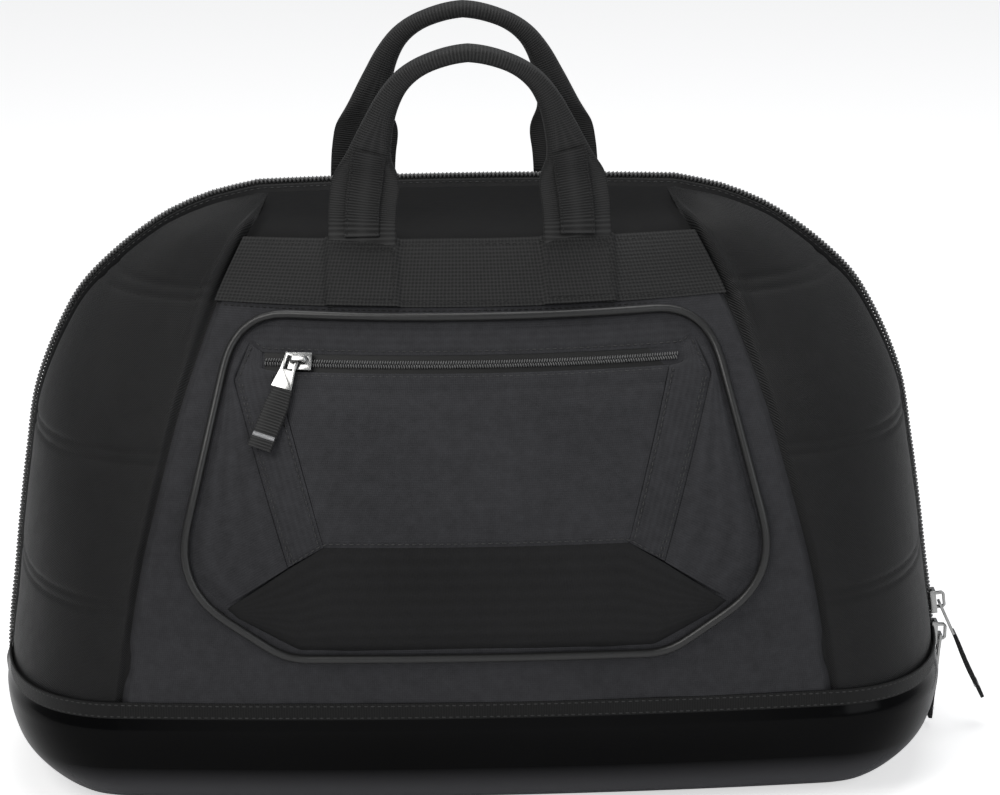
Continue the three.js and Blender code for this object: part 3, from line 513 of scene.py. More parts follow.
# webbing: ribs along the band, crossed by picks, which leave an open grid of small dark holes
def webbingCloth(name, dark, light, pitch, depth, roughness, ribShare=0.5):
    tape = Shader(name, Roughness=roughness, Sheen_Weight=0.05, Sheen_Roughness=0.4,
                  Specular_IOR_Level=0.25)
    u, v = tape.cloth()
    ribs = u.wave(pitch)
    picks = v.wave(pitch * 0.8)
    slub = tape.grain(0.7 * mm, 3)
    weave = ribs.most(picks) * 0.4 + ribs * (0.6 * ribShare) + picks * (0.6 - 0.6 * ribShare)
    tape.set("Base Color", tape.mix(weave**1.6 * 0.8 + slub * 0.3 - 0.05, dark, light))
    tape.set("Roughness", slub * 0.12 + (roughness - 0.06))
    tape.bump(weave + slub * 0.3, depth, 0.9)
    return tape.material


def bootRubber():
    rubber = Shader("bootCoat", Roughness=0.1, Specular_IOR_Level=0.08)
    pebble = rubber.grain(1.6 * mm, 2)
    broad = rubber.grain(70 * mm, 2)
    scuffs = rubber.grain(6 * mm, 6)
    # painted reflection: the base colour grows paler toward the foot, standing in for the pale floor seen
    # in the gloss
    low = (1 - rubber.axes(rubber.place())[2] / (26 * mm)).most(0)
    coat = rubber.mix(broad, grey(0.0012), grey(0.003, 0.0004))
    # grey(0.12, 0.01) is the colour of the painted floor reflection, blended in by the height mask above
    rubber.set("Base Color", rubber.mix(low, coat, grey(0.12, 0.01)))
    rubber.set("Roughness", broad * 0.05 + (scuffs - 0.6).most(0) * 0.6 + 0.15)
    rubber.bump(pebble * 0.5 + broad * 3, 0.03 * mm, 0.3)
    return rubber.material


def grosgrain():
    tape = Shader("grosgrainTape", Roughness=0.45, Sheen_Weight=0.02, Specular_IOR_Level=0.2)
    u, v = tape.cloth()
    ribs = v.wave(0.9 * mm)
    uneven = tape.grain(1.2 * mm, 3)
    tape.set("Base Color", tape.mix(ribs * 0.6 + uneven * 0.4, grey(0.003), grey(0.013)))
    tape.set("Roughness", uneven * 0.16 + 0.34)
    tape.bump(ribs + uneven * 0.3, 0.16 * mm, 0.7)
    return tape.material


def plainNylon(name, dark, light, roughness, size, shine=0.4):
    nylon = Shader(name, Roughness=roughness, Specular_IOR_Level=shine)
    fine = nylon.grain(size, 3)
    nylon.set("Base Color", nylon.mix(fine, dark, light))
    nylon.set("Roughness", fine * 0.14 + (roughness - 0.07))
    nylon.bump(fine, size * 0.08, 0.5)
    return nylon.material


def brightNickel():
    metal = Shader("brightNickel", Metallic=1, Roughness=0.18)
    brushed = metal.grain(0.5 * mm, 4)
    broad = metal.grain(6 * mm, 3)
    metal.set("Base Color", metal.mix(broad, (0.36, 0.36, 0.355, 1), (0.6, 0.6, 0.59, 1)))
    metal.set("Roughness", brushed * 0.14 + broad * 0.1 + 0.1)
    metal.bump(brushed, 0.02 * mm, 0.4)
    return metal.material


def silverThread():
    thread = Shader("silverThread", Roughness=0.34, Metallic=0.35, Specular_IOR_Level=0.6)
    glint = thread.grain(0.6 * mm, 3)
    thread.set("Base Color", thread.mix(glint, (0.3, 0.3, 0.31, 1), (0.72, 0.72, 0.73, 1)))
    thread.set("Roughness", glint * 0.2 + 0.25)
    return thread.material


finishes = {
    "panel": wovenCloth("charcoalCloth", grey(0.013, 0.0015), grey(0.05, 0.005), 0.55 * mm, 0.14 * mm,
                        0.78),
    "yoke": wovenCloth("blackYokeCloth", grey(0.002), grey(0.008, 0.0005), 0.35 * mm, 0.05 * mm, 0.5,
                       0.01, 0.5, 0.08),
    "facet": wovenCloth("blackPocketCloth", grey(0.005), grey(0.02, 0.001), 0.4 * mm, 0.08 * mm, 0.6,
                        0.03, 0.6, 0.18),
    "side": twillCloth("ballisticTwill", grey(0.002), grey(0.017, 0.0008), 0.8 * mm, 0.3 * mm, 0.5),
    "boot": bootRubber(),
    "binding": grosgrain(),
    "webbing": webbingCloth("gridWebbing", grey(0.005), grey(0.033), 1.9 * mm, 0.3 * mm, 0.65),
    "tape": plainNylon("zipTape", grey(0.004), grey(0.013), 0.6, 0.7 * mm),
    "coil": plainNylon("nylonCoil", grey(0.05), grey(0.17), 0.3, 1.5 * mm, 0.8),
    "piping": plainNylon("pipingCloth", grey(0.008), grey(0.022), 0.38, 0.9 * mm, 0.6),
    "nickel": brightNickel(),
    "silver": silverThread(),
    "thread": plainNylon("darkThread", grey(0.02), grey(0.05), 0.45, 0.5 * mm),
    "handle": webbingCloth("handleWebbing", grey(0.006), grey(0.042), 1.9 * mm, 0.3 * mm, 0.6, 0.15),
}
print("materials")


# Panels of the body

# "flat" is the size of a piece laid flat, in metres, which sets the scale of its weave
panelCut = {
    "wall": 3 * mm, "low": 57.3 * mm, "split": bag["channels"][2], "seamGap": 0.02 * mm,
    "columns": 96, "rows": 76, "flat": (0.36, 0.215), "gather": 0.6,
    "seamDip": 2.8 * mm, "seamRoll": 4.5 * mm, "rise": 1.1 * mm, "sideHeld": 0.03, "topHeld": 0.95,
    # shallow creases from the pocket's lower corners: x, height at both ends, depth, width
    "creases": [(130, 106, 174, 80, 1.8, 7), (64, 84, 92, 66, 0.7, 9)],
    "waves": 0.7 * mm, "waveSize": 55 * mm, "puffLimit": 0.6 * mm,
}
yokeCut = {
    "columns": 90, "rows": 36, "flat": (0.25, 0.06), "seamDip": 1.2 * mm, "seamRoll": 6 * mm,
    "topGap": 0.1 * mm, "topEase": 0.12, "lowEase": 0.1, "waves": 0.5 * mm, "waveSize": 40 * mm,
}
sideCut = {
    "wall": 5 * mm, "low": 57.3 * mm, "columns": 44, "rows": 180, "flat": (0.15, 0.27), "gather": 0.65,
    # from just under the centre cloth to just short of the zip
    "fromShare": -0.014, "toShare": 0.992, "puff": 0.5 * mm,
    # how far each channel is shifted at the seam and at the rim
    "slopes": [(0, 12 * mm), (-3 * mm, 5 * mm), (-6 * mm, 3 * mm)], "puffLimit": 1.4 * mm, "pinned": 5 * mm,
    "channelHalf": 2.7 * mm, "grooveHalf": 1.3 * mm, "channelDip": 0.75 * mm,
    "stitchFrom": 0.05, "stitchTo": 0.95, "stitchSteps": 40,
    "seamDip": 2.8 * mm, "rimDip": 0.9 * mm, "seamRoll": 0.03, "rimRoll": 0.024,
    "pipe": 3.2 * mm, "pipeAt": 0.06, "pipeWide": 0.03, "pipeFrom": 222 * mm, "pipeTo": 262 * mm,
    "flatFrom": 284 * mm, "flatTo": 297 * mm,
    "waves": 1.0 * mm, "waveSize": 48 * mm,
}


def creaseDip(x, height, lines):
    dip = 0
    for x1, h1, x2, h2, depth, width in lines:
        start, end = Vector((x1, h1)) * mm, Vector((x2, h2)) * mm
        along = end - start
        here = Vector((abs(x), height)) - start
        t = min(max(here.dot(along) / along.length_squared, 0), 1)
        away = (here - along * t).length / (width * mm)
        dip += depth * mm * math.exp(-away * away)
    return dip


def centreLift(x, height):
    cut = panelCut
    seam = rowAt(height)[2]
    toSeam = max(seam - abs(x), 0)
    roll = smoothStep(0, cut["seamRoll"], toSeam)
    wave = noise.noise(Vector((x, height * 1.3, 0.2)) / cut["waveSize"]) * cut["waves"]
    swell = roll * (cut["rise"] + wave)
    return (roll - 1) * cut["seamDip"] + swell - creaseDip(x, height, cut["creases"])


def makeCentrePanels():
    cut = panelCut

    def place(u, v):
        height = cut["low"] + (cut["split"] - cut["seamGap"] - cut["low"]) * v
        half = rowAt(height)[2] - cut["seamGap"]
        x = half * (2 * u - 1)
        return onMiddle(x, height, centreLift(x, height))

    front = gridSheet("centre_cloth_front", cut["columns"], cut["rows"], place, cut["flat"], cut["gather"])
    faceOut(front, lambda p: Vector((0, -1, 0)))
    thicken(front, cut["wall"])

    def held(u, v):
        edge = cut["sideHeld"]
        return u < edge or u > 1 - edge or v < edge or v > cut["topHeld"]

    puffCloth(front, held, cut["puffLimit"])
    back = mirrored(front, "centre_cloth_back", flipY=True)
    for obj, node in ((front, "centre_panel_front"), (back, "centre_panel_back")):
        finishPiece(obj, finishes["panel"], [node])
        soften(obj)


def makeYokes():
    cut = yokeCut
    split, seamGap = panelCut["split"], panelCut["seamGap"]

    def place(u, v):
        height = split + seamGap + (topHeight - cut["topGap"] - split) * v
        half = rowAt(min(height, topHeight))[2] - seamGap
        x = half * (2 * u - 1)
        roll = smoothStep(0, cut["seamRoll"], half - abs(x))
        wave = noise.noise(Vector((x, height * 2, 3.1)) / cut["waveSize"]) * cut["waves"]
        ease = smoothStep(0, cut["topEase"], 1 - v) * smoothStep(0, cut["lowEase"], v)
        return onMiddle(x, min(height, topHeight), ease * ((roll - 1) * cut["seamDip"] + wave * roll))

    front = gridSheet("yoke_cloth_front", cut["columns"], cut["rows"], place, cut["flat"])
    faceOut(front, lambda p: Vector((0, -1, 1)))
    thicken(front, panelCut["wall"])
    back = mirrored(front, "yoke_cloth_back", flipY=True)
    for obj, node in ((front, "yoke_panel_front"), (back, "yoke_panel_back")):
        finishPiece(obj, finishes["yoke"], [node])
        soften(obj)


def channelHeights(t):
    return [level + start + (end - start) * t
            for level, (start, end) in zip(bag["channels"], sideCut["slopes"])]


def sideLift(t, height):
    cut = sideCut
    channels = channelHeights(t)
    fromSeam = smoothStep(0, cut["seamRoll"], t)
    fromRim = smoothStep(0, cut["rimRoll"], 1 - t)
    edges = fromSeam * fromRim
    marks = [cut["low"] - 6 * mm] + channels + [topHeight + 4 * mm]
    puff = 0
    for low, high in zip(marks, marks[1:]):
        if low <= height <= high:
            puff = math.sin(math.pi * (height - low) / (high - low))**0.4
    # two grooves to a channel, one under each row of stitches
    dip = sum(math.exp(-((abs(height - level) - cut["channelHalf"]) / cut["grooveHalf"])**2)
              for level in channels)
    wave = noise.noise(Vector((t * 0.14, height, 7.7)) / cut["waveSize"]) * cut["waves"]
    # rolled edge beside the yoke, where the padding is drawn tight
    pipe = math.exp(-((t - cut["pipeAt"]) / cut["pipeWide"])**2) * cut["pipe"]
    wave += pipe * smoothStep(cut["pipeFrom"], cut["pipeTo"], height)
    flat = 1 - smoothStep(cut["flatFrom"], cut["flatTo"], height)
    sunk = (1 - fromSeam) * cut["seamDip"] + (1 - fromRim) * cut["rimDip"]
    return flat * (edges * (puff * cut["puff"] + wave - dip * cut["channelDip"]) - sunk)


def makeSidePanels():
    cut = sideCut

    def place(u, v):
        height = cut["low"] + (topHeight - cut["low"]) * v
        t = cut["fromShare"] + (cut["toShare"] - cut["fromShare"]) * u
        return onSide(t, height, sideLift(t, height))

    name = "side_cloth_right_front"
    first = gridSheet(name, cut["columns"], cut["rows"], place, cut["flat"], cut["gather"])
    faceOut(first, lambda p: Vector((1, -1, 0)))
    thicken(first, cut["wall"])

    def held(u, v):
        height = cut["low"] + (topHeight - cut["low"]) * v
        near = min(abs(height - level) for level in channelHeights(u))
        return u < 0.05 or u > 0.95 or v < 0.015 or v > 0.98 or near < cut["pinned"]

    puffCloth(first, held, cut["puffLimit"])
    others = [
        (first, "side_panel_right_front"),
        (mirrored(first, "side_cloth_right_back", flipY=True), "side_panel_right_back"),
        (mirrored(first, "side_cloth_left_front", flipX=True), "side_panel_left_front"),
        (mirrored(first, "side_cloth_left_back", flipX=True, flipY=True), "side_panel_left_back"),
    ]
    for obj, node in others:
        finishPiece(obj, finishes["side"], [node])
        soften(obj)


def sewChannels():
    cut = sideCut
    lines = []
    for number in range(len(bag["channels"])):
        for hand in (-1, 1):
            points, outs = [], []
            for k in range(cut["stitchSteps"] + 1):
                t = cut["stitchFrom"] + (cut["stitchTo"] - cut["stitchFrom"]) * k / cut["stitchSteps"]
                height = channelHeights(t)[number] + hand * cut["channelHalf"]
                points.append(onSide(t, height, sideLift(t, height)))
                outs.append(sideOut(t, height))
            line = (points, outs)
            lines += [line, acrossX(line), acrossY(line), acrossX(acrossY(line))]
    sewStitches("channel_stitches", lines, look="tape")


# Boot, a moulded tray that the panels stand in

bootCut = {
    "wall": 3 * mm, "bulge": 4.2 * mm, "bulgeFrom": 0.05, "bulgeFull": 0.45, "rimFrom": 0.8,
    "rimTaken": 0.7, "rimGap": 0.15 * mm, "floorShare": 0.3,
    "middleSteps": 22, "sideSteps": 34, "tipSteps": 6, "rows": 46, "flat": (1.3, 0.12),
}


def planOutline():
    cut = bootCut
    height = bag["bootHeight"]
    seam = rowAt(height)[2]
    quarter = [middlePoint(seam * i / cut["middleSteps"], height) for i in range(cut["middleSteps"])]
    quarter += [sidePoint(i / cut["sideSteps"], height) for i in range(cut["sideSteps"])]
    tip = bag["halfWidth"] - bag["stripDrop"] / 2
    for i in range(cut["tipSteps"]):
        share = i / cut["tipSteps"]
        quarter.append(Vector((bag["halfWidth"] - bag["stripDrop"] * (1 - 0.5 * share**2),
                               -bag["stripHalf"] * (1 - share), height)))
    quarter.append(Vector((tip, 0, height)))
    half = quarter + [Vector((p.x, -p.y, p.z)) for p in quarter[-2::-1]]
    loop = half + [Vector((-p.x, p.y, p.z)) for p in half[-2:0:-1]]
    outs = []
    for i, p in enumerate(loop):
        along = loop[(i + 1) % len(loop)] - loop[i - 1]
        straight = abs(p.y) < bag["stripHalf"] - 0.1 * mm
        outs.append(Vector((p.x, 0, 0) if straight else (along.y, -along.x, 0)).normalized())
    return loop, outs


def makeBoot():
    cut = bootCut
    loop, outs = planOutline()
    count = len(loop)

    # the floor grows out from its middle, and the wall rises from the floor's edge
    def place(u, v):
        i = round(u * count) % count
        if v < cut["floorShare"]:
            height, inset = 0, bag["footInset"]
            shrink = v / cut["floorShare"]
        else:
            share = (v - cut["floorShare"]) / (1 - cut["floorShare"])
            height = share * (bag["bootHeight"] - cut["rimGap"])
            inset = smoothTrack(bag["bootStations"], 1, share) * bag["footInset"]
            swell = smoothStep(cut["bulgeFrom"], cut["bulgeFull"], share)
            inset -= cut["bulge"] * swell * (1 - cut["rimTaken"] * smoothStep(cut["rimFrom"], 1, share))
            shrink = 1
        point = loop[i] - outs[i] * inset
        return Vector((point.x * shrink, point.y * shrink, height))

    boot = gridSheet("boot_shell", count, cut["rows"], place, cut["flat"])
    apply(boot, "WELD", merge_threshold=0.02 * mm)
    faceOut(boot, lambda p: Vector((p.x, p.y, 0 if p.z > 1 * mm else -1)))
    thicken(boot, cut["wall"])
    finishPiece(boot, finishes["boot"], ["boot"])
    soften(boot)


print("body panels")
makeCentrePanels()
makeYokes()
makeSidePanels()
print("boot")
makeBoot()


# Strips that run along a path

def rounded(width, thick, corner, steps=3):
    loop = []
    for cx, cy, turn in ((1, 1, 0), (-1, 1, 90), (-1, -1, 180), (1, -1, 270)):
        for k in range(steps + 1):
            angle = math.radians(turn + 90 * k / steps)
            loop.append((cx * (width / 2 - corner) + corner * math.cos(angle),
                         cy * (thick / 2 - corner) + corner * math.sin(angle)))
    return loop


def circle(radius, sides):
    return [(radius * math.cos(2 * math.pi * k / sides), radius * math.sin(2 * math.pi * k / sides))
            for k in range(sides)]


def sweep(name, frames, sections, closed=False):
    if not isinstance(sections[0], list):
        sections = [sections] * len(frames)
    around, along = len(sections[0]), len(frames)
    length = sum((frames[i + 1][0] - frames[i][0]).length for i in range(along - 1))
    girth = sum(math.dist(sections[0][k], sections[0][k - 1]) for k in range(around))

    def place(u, v):
        i = round(v * along) % along if closed else round(v * (along - 1))
        point, side, up = frames[i]
        across, rise = sections[i][round(u * around) % around]
        return point + side * across + up * rise

    tube = gridSheet(name, around, along if closed else along - 1, place, (girth, length))
    apply(tube, "WELD", merge_threshold=0.01 * mm)
    pick(tube)
    bpy.ops.object.mode_set(mode="EDIT")
    if not closed:
        bpy.ops.mesh.select_all(action="DESELECT")
        bpy.ops.mesh.select_non_manifold()
        bpy.ops.mesh.edge_face_add()
    bpy.ops.mesh.select_all(action="SELECT")
    bpy.ops.mesh.normals_make_consistent(inside=False)
    bpy.ops.object.mode_set(mode="OBJECT")
    return tube


def framesAlong(points, outs, closed=False):
    frames = []
    for i, (point, out) in enumerate(zip(points, outs)):
        if closed:
            run = points[(i + 1) % len(points)] - points[i - 1]
        else:
            run = points[min(i + 1, len(points) - 1)] - points[max(i - 1, 0)]
        side = run.cross(out).normalized()
        frames.append((point, side, side.cross(run).normalized()))
    return frames


def evenly(points, step, closed=False):
    line = points + points[:1] if closed else points
    runs = [0]
    for a, b in zip(line, line[1:]):
        runs.append(runs[-1] + (b - a).length)
    count = max(2, round(runs[-1] / step))
    places, i = [], 0
    for k in range(count if closed else count + 1):
        at = runs[-1] * k / count
        while i < len(runs) - 2 and runs[i + 1] < at:
            i += 1
        share = (at - runs[i]) / max(runs[i + 1] - runs[i], 1e-9)
        places.append((i, share))
    return [(line[i].lerp(line[min(i + 1, len(line) - 1)], s), i, s) for i, s in places]


# One small shape set down many times, joined into one mesh

def manyOf(name, template, frames):
    base = np.array([v.co for v in template.data.vertices])
    faces = [list(p.vertices) for p in template.data.polygons]
    points, polygons = [], []
    for count, (place, side, up, run) in enumerate(frames):
        turn = np.array([side, run, up])
        points.append(base @ turn + np.array(place))
        polygons += [[i + count * len(base) for i in face] for face in faces]
    mesh = bpy.data.meshes.new(name)
    mesh.from_pydata(np.concatenate(points).tolist(), [], polygons)
    obj = bpy.data.objects.new(name, mesh)
    bpy.context.scene.collection.objects.link(obj)
    for polygon in mesh.polygons:
        polygon.use_smooth = True
    bpy.data.objects.remove(template)
    return obj


def threadBead(name, length, width, high):
    bpy.ops.object.select_all(action="DESELECT")
    bpy.ops.mesh.primitive_uv_sphere_add(segments=6, ring_count=4, radius=0.5)
    bead = bpy.context.active_object
    bead.name = name
    for v in bead.data.vertices:
        x, y, z = v.co
        v.co = (x * width, z * length, y * high)
    bead.data.flip_normals()
    return bead


stitchCut = {"length": 2.3 * mm, "gap": 1.1 * mm, "width": 0.75 * mm, "high": 0.6 * mm, "sink": 0.1 * mm}


def stitchFrames(points, outs):
    step = stitchCut["length"] + stitchCut["gap"]
    frames = []
    marks = evenly(points, step)
    for (place, i, share), (after, _, _) in zip(marks, marks[1:]):
        out = outs[i].lerp(outs[min(i + 1, len(outs) - 1)], share).normalized()
        run = (after - place).normalized()
        side = run.cross(out).normalized()
        frames.append(((place + after) / 2 - out * stitchCut["sink"], side, side.cross(run), run))
    return frames


def sewStitches(name, lines, look="thread", nodes=()):
    bead = threadBead(name + "_bead", stitchCut["length"], stitchCut["width"], stitchCut["high"])
    frames = [frame for points, outs in lines for frame in stitchFrames(points, outs)]
    finishPiece(manyOf(name, bead, frames), finishes[look], nodes)


def acrossY(line):
    points, outs = line
    return ([Vector((p.x, -p.y, p.z)) for p in points], [Vector((o.x, -o.y, o.z)) for o in outs])


def acrossX(line):
    points, outs = line
    return ([Vector((-p.x, p.y, p.z)) for p in points], [Vector((-o.x, o.y, o.z)) for o in outs])


# Zip strip: gussets and tapes in two rows, and the coil between them

zipCut = {
    "endHeight": 36.3 * mm, "endLean": 0.15, "step": 4 * mm, "pitch": 2.1 * mm,
    "footSteps": 6, "sideSteps": 70, "topSteps": 12,
    # sections in mm: distance from the zip's middle, depth under the outline
    "gusset": [(15.8, 6.2), (12.5, 4.1), (9, 3.1), (7.4, 2.5),
               (6.7, 2.9), (7.2, 4.2), (11, 5.6), (16.6, 9.6)],
    "tape": [(6.5, 2.75), (3, 2.75), (0.2, 2.75), (0.2, 3.7), (3, 3.7), (6.5, 3.7)],
    "toothReach": 2.9 * mm, "toothTall": 3 * mm, "toothWide": 1.5 * mm, "toothUnder": 1.4 * mm,
    "toothOut": 1.05 * mm, "toothSlant": 0.25, "stitchAt": 9.6, "stitchUnder": 3.1,
}


def rimLine():
    cut = zipCut
    half = bag["halfWidth"]
    points, outs = [], []
    for i in range(cut["footSteps"]):
        share = i / cut["footSteps"]
        height = cut["endHeight"] + (bag["bootHeight"] - cut["endHeight"]) * share
        inset = smoothTrack(bag["bootStations"], 1, height / bag["bootHeight"]) * bag["footInset"]
        points.append(Vector((half - inset, 0, height)))
        outs.append(Vector((1, 0, -cut["endLean"] * (1 - share))).normalized())
    for i in range(cut["sideSteps"]):
        height = bag["bootHeight"] + (topHeight - bag["bootHeight"]) * i / cut["sideSteps"]
        place, out = rimAt(height)
        points.append(place)
        outs.append(out)
    for i in range(cut["topSteps"] + 1):
        x = topReach * (1 - i / cut["topSteps"])
        points.append(Vector((x, 0, bag["height"] - topSag * (x / topReach)**2)))
        outs.append(topOut(x))
    mirror = acrossX((points[-2::-1], outs[-2::-1]))
    return points + mirror[0], outs + mirror[1]


def evenRim(step):
    points, outs = rimLine()
    marks = evenly(points, step)
    places = [m[0] for m in marks]
    ways = [outs[i].lerp(outs[min(i + 1, len(outs) - 1)], s).normalized() for _, i, s in marks]
    return places, ways


def makeZipStrip():
    cut = zipCut
    places, ways = evenRim(cut["step"])
    points = [p + Vector((0, -cut["stitchAt"], 0)) * mm - o * cut["stitchUnder"] * mm
              for p, o in zip(places, ways)]
    seam = (points, ways)
    for kind, look, node, slot in (("gusset", "yoke", "zip_gusset", "yoke_fabric"),
                                   ("tape", "tape", "zip_tape", "tape")):
        frames = [(p, Vector((0, -1, 0)), o) for p, o in zip(places, ways)]
        section = [(a * mm, -b * mm) for a, b in cut[kind]]
        front = sweep("zip_" + kind + "_strip_front", frames, section)
        back = mirrored(front, "zip_" + kind + "_strip_back", flipY=True)
        for obj, end in ((front, "_front"), (back, "_back")):
            finishPiece(obj, finishes[look], [node + end])
            soften(obj, 50)

    places, ways = evenRim(cut["pitch"])
    frames = []
    for i in range(1, len(places) - 1):
        run = (places[i + 1] - places[i - 1]).normalized()
        # the teeth of the two sides stand half a pitch apart
        for hand in (-1, 1):
            shift = run * (cut["pitch"] * 0.25 * hand)
            across = (Vector((0, hand, 0)) + run * cut["toothSlant"]).normalized()
            seat = places[i] + shift + across * cut["toothOut"] - ways[i] * cut["toothUnder"]
            frames.append((seat, ways[i].cross(across).normalized(), ways[i], across))
    tooth = threadBead("zip_tooth", cut["toothReach"], cut["toothWide"], cut["toothTall"])
    finishPiece(manyOf("zip_coil_teeth", tooth, frames), finishes["coil"], ["zip_coil"])
    sewStitches("gusset_stitches", [seam, acrossY(seam)])


# Binding over the joint of panels and boot

bindCut = {
    "width": 9 * mm, "wall": 1.3 * mm, "corner": 0.55 * mm, "lift": 1.5 * mm, "lean": 0.06,
    "rows": (-3.1 * mm, 3.1 * mm), "endGap": 0.1 * mm,
}


def frontPlan():
    loop, outs = planOutline()
    quarter = len(loop) // 4
    points = [Vector((-p.x, p.y, p.z)) for p in loop[quarter:0:-1]] + loop[:quarter + 1]
    ways = [Vector((-o.x, o.y, o.z)) for o in outs[quarter:0:-1]] + outs[:quarter + 1]
    kept = [i for i, p in enumerate(points) if p.y < -bag["stripHalf"] - bindCut["endGap"]]
    return [points[i] for i in kept], [ways[i] for i in kept]


def makeBinding():
    cut = bindCut
    points, outs = frontPlan()
    up = Vector((0, 0, 1))
    frames = [(p + o * cut["lift"], (up + o * cut["lean"]).normalized(), o) for p, o in zip(points, outs)]
    front = sweep("binding_strip_front", frames, rounded(cut["width"], cut["wall"], cut["corner"]))
    back = mirrored(front, "binding_strip_back", flipY=True)
    for obj, node in ((front, "boot_binding_front"), (back, "boot_binding_back")):
        finishPiece(obj, finishes["binding"], [node])
        soften(obj, 50)
    lines = []
    for rise in cut["rows"]:
        face = [p + o * (cut["lift"] + cut["wall"] / 2 + rise * cut["lean"]) + up * rise
                for p, o in zip(points, outs)]
        lines += [(face, outs), acrossY((face, outs))]
    sewStitches("binding_stitches", lines)


print("channel stitches, zip strip and binding")
sewChannels()
makeZipStrip()
makeBinding()


# Webbing band and the handles sewn onto it

bandCut = {
    "low": 254.5 * mm, "top": bandTop, "wall": 1.7 * mm, "lift": 2 * mm, "endGap": 0.4 * mm,
    "columns": 190, "rows": 14, "flat": (0.262, 0.0285), "ripple": 0.25 * mm, "rippleSize": 32 * mm,
    # over the feet of the handles, which are sewn in behind it
    "legLift": 1.7 * mm, "legHalf": 17 * mm, "legEdge": 2.2 * mm,
    "edgeStitch": 2.2 * mm, "foldLine": 253.2 * mm, "foldLift": 1.4 * mm, "stitchEnd": 5 * mm,
    "stitchSteps": 160,
}
handleCut = {
    "gap": 108 * mm, "rise": 94 * mm, "width": 35 * mm, "wall": 1.9 * mm, "gripWidth": 19 * mm,
    "gripThick": 8 * mm, "endRaise": 3.5 * mm, "lift": 1.3 * mm, "foot": 255.5 * mm, "steps": 64,
    "stripWidth": 17.5 * mm, "stripWall": 1.5 * mm, "boxWidth": 31 * mm, "boxTall": 22 * mm,
    # across, up, flatness: shares of half the gap and of the rise, from the leg to just past the middle
    "stations": [
        (0, 1, 0.03, 1), (1, 0.985, 0.17, 1), (2, 0.95, 0.31, 0.95), (3, 0.92, 0.44, 0.55),
        (4, 0.845, 0.59, 0.33), (5, 0.747, 0.735, 0.18), (6, 0.6, 0.86, 0.07), (7, 0.36, 0.95, 0),
        (8, 0, 1, 0), (9, -0.36, 0.95, 0),
    ],
    "lastStation": 8, "smoothings": 4, "stripEnd": 0.5, "legSteps": 9, "stripCorner": 0.7 * mm,
    # thickness of the folded grip, and corners as shares of the thinner side
    "gripFill": 0.92, "legCorner": 0.28, "gripCorner": 0.12,
    # stitched box on each leg: start and end of a line, as shares of half the width and of the height
    "boxLines": [(-1, 0, 1, 0), (1, 0, 1, 1), (1, 1, -1, 1), (-1, 1, -1, 0), (-1, 0.92, 1, 0.92)],
    "boxUp": 2 * mm, "boxSteps": 8, "boxLift": 0.1 * mm, "stripStitch": 0.42,
}


def bandLift(x):
    cut = bandCut
    away = abs(abs(x) - handleCut["gap"] / 2) - cut["legHalf"]
    return cut["lift"] + cut["legLift"] * (1 - smoothStep(0, cut["legEdge"], away))


def makeBands():
    cut = bandCut

    def place(u, v):
        height = cut["low"] + (cut["top"] - cut["low"]) * v
        x = (rowAt(height)[2] - cut["endGap"]) * (2 * u - 1)
        ripple = noise.noise(Vector((x / cut["rippleSize"], 4.2, v))) * cut["ripple"]
        return onMiddle(x, height, bandLift(x) + ripple)

    front = gridSheet("band_front", cut["columns"], cut["rows"], place, cut["flat"])
    faceOut(front, lambda p: Vector((0, -1, 0.5)))
    thicken(front, cut["wall"])
    back = mirrored(front, "band_back", flipY=True)
    for obj, node in ((front, "webbing_band_front"), (back, "webbing_band_back")):
        finishPiece(obj, finishes["webbing"], [node])
        soften(obj)
    lines = []
    low, top = cut["low"] + cut["edgeStitch"], cut["top"] - cut["edgeStitch"]
    for height, onBand in ((low, True), (top, True), (cut["foldLine"], False)):
        half = rowAt(height)[2] - cut["stitchEnd"]
        spots = [half * (2 * i / cut["stitchSteps"] - 1) for i in range(cut["stitchSteps"] + 1)]
        points = [onMiddle(x, height, bandLift(x) if onBand else cut["foldLift"]) for x in spots]
        outs = [middleOut(x, height) for x in spots]
        lines += [(points, outs), acrossY((points, outs))]
    sewStitches("band_stitches", lines[:4], look="tape")
    sewStitches("band_seam", lines[4:], look="tape")


def handlePath():
    cut = handleCut
    x = cut["gap"] / 2
    points, flats = [], []
    for i in range(cut["legSteps"]):
        height = cut["foot"] + (bandCut["top"] - cut["foot"]) * i / cut["legSteps"]
        points.append(onMiddle(x, height, cut["lift"]))
        flats.append(1)
    base = onMiddle(x, bandCut["top"], cut["lift"])
    points.append(base)
    flats.append(1)
    for i in range(1, cut["steps"] + 1):
        at = cut["lastStation"] * i / cut["steps"]
        across, up, flat = (smoothTrack(cut["stations"], c, at) for c in (1, 2, 3))
        height = base.z + cut["endRaise"] + up * (cut["rise"] - cut["endRaise"])
        points.append(Vector((across * x, base.y, height)))
        flats.append(min(max(flat, 0), 1))
    for _ in range(cut["smoothings"]):
        points[1:-1] = [(a + b * 2 + c) / 4 for a, b, c in zip(points, points[1:], points[2:])]
    mirror = [Vector((-p.x, p.y, p.z)) for p in points[-2::-1]]
    return points + mirror, flats + flats[-2::-1]


def handleFrames():
    points, flats = handlePath()
    # the flat legs follow the slant of the panel, and the grip faces straight ahead
    slant = middleOut(handleCut["gap"] / 2, bandCut["low"]).x
    frames = []
    for i, point in enumerate(points):
        run = (points[min(i + 1, len(points) - 1)] - points[max(i - 1, 0)]).normalized()
        ahead = Vector((math.copysign(slant * flats[i], point.x), -1, 0))
        up = (ahead - run * run.dot(ahead)).normalized()
        frames.append((point, run.cross(up).normalized(), up))
    return frames, flats


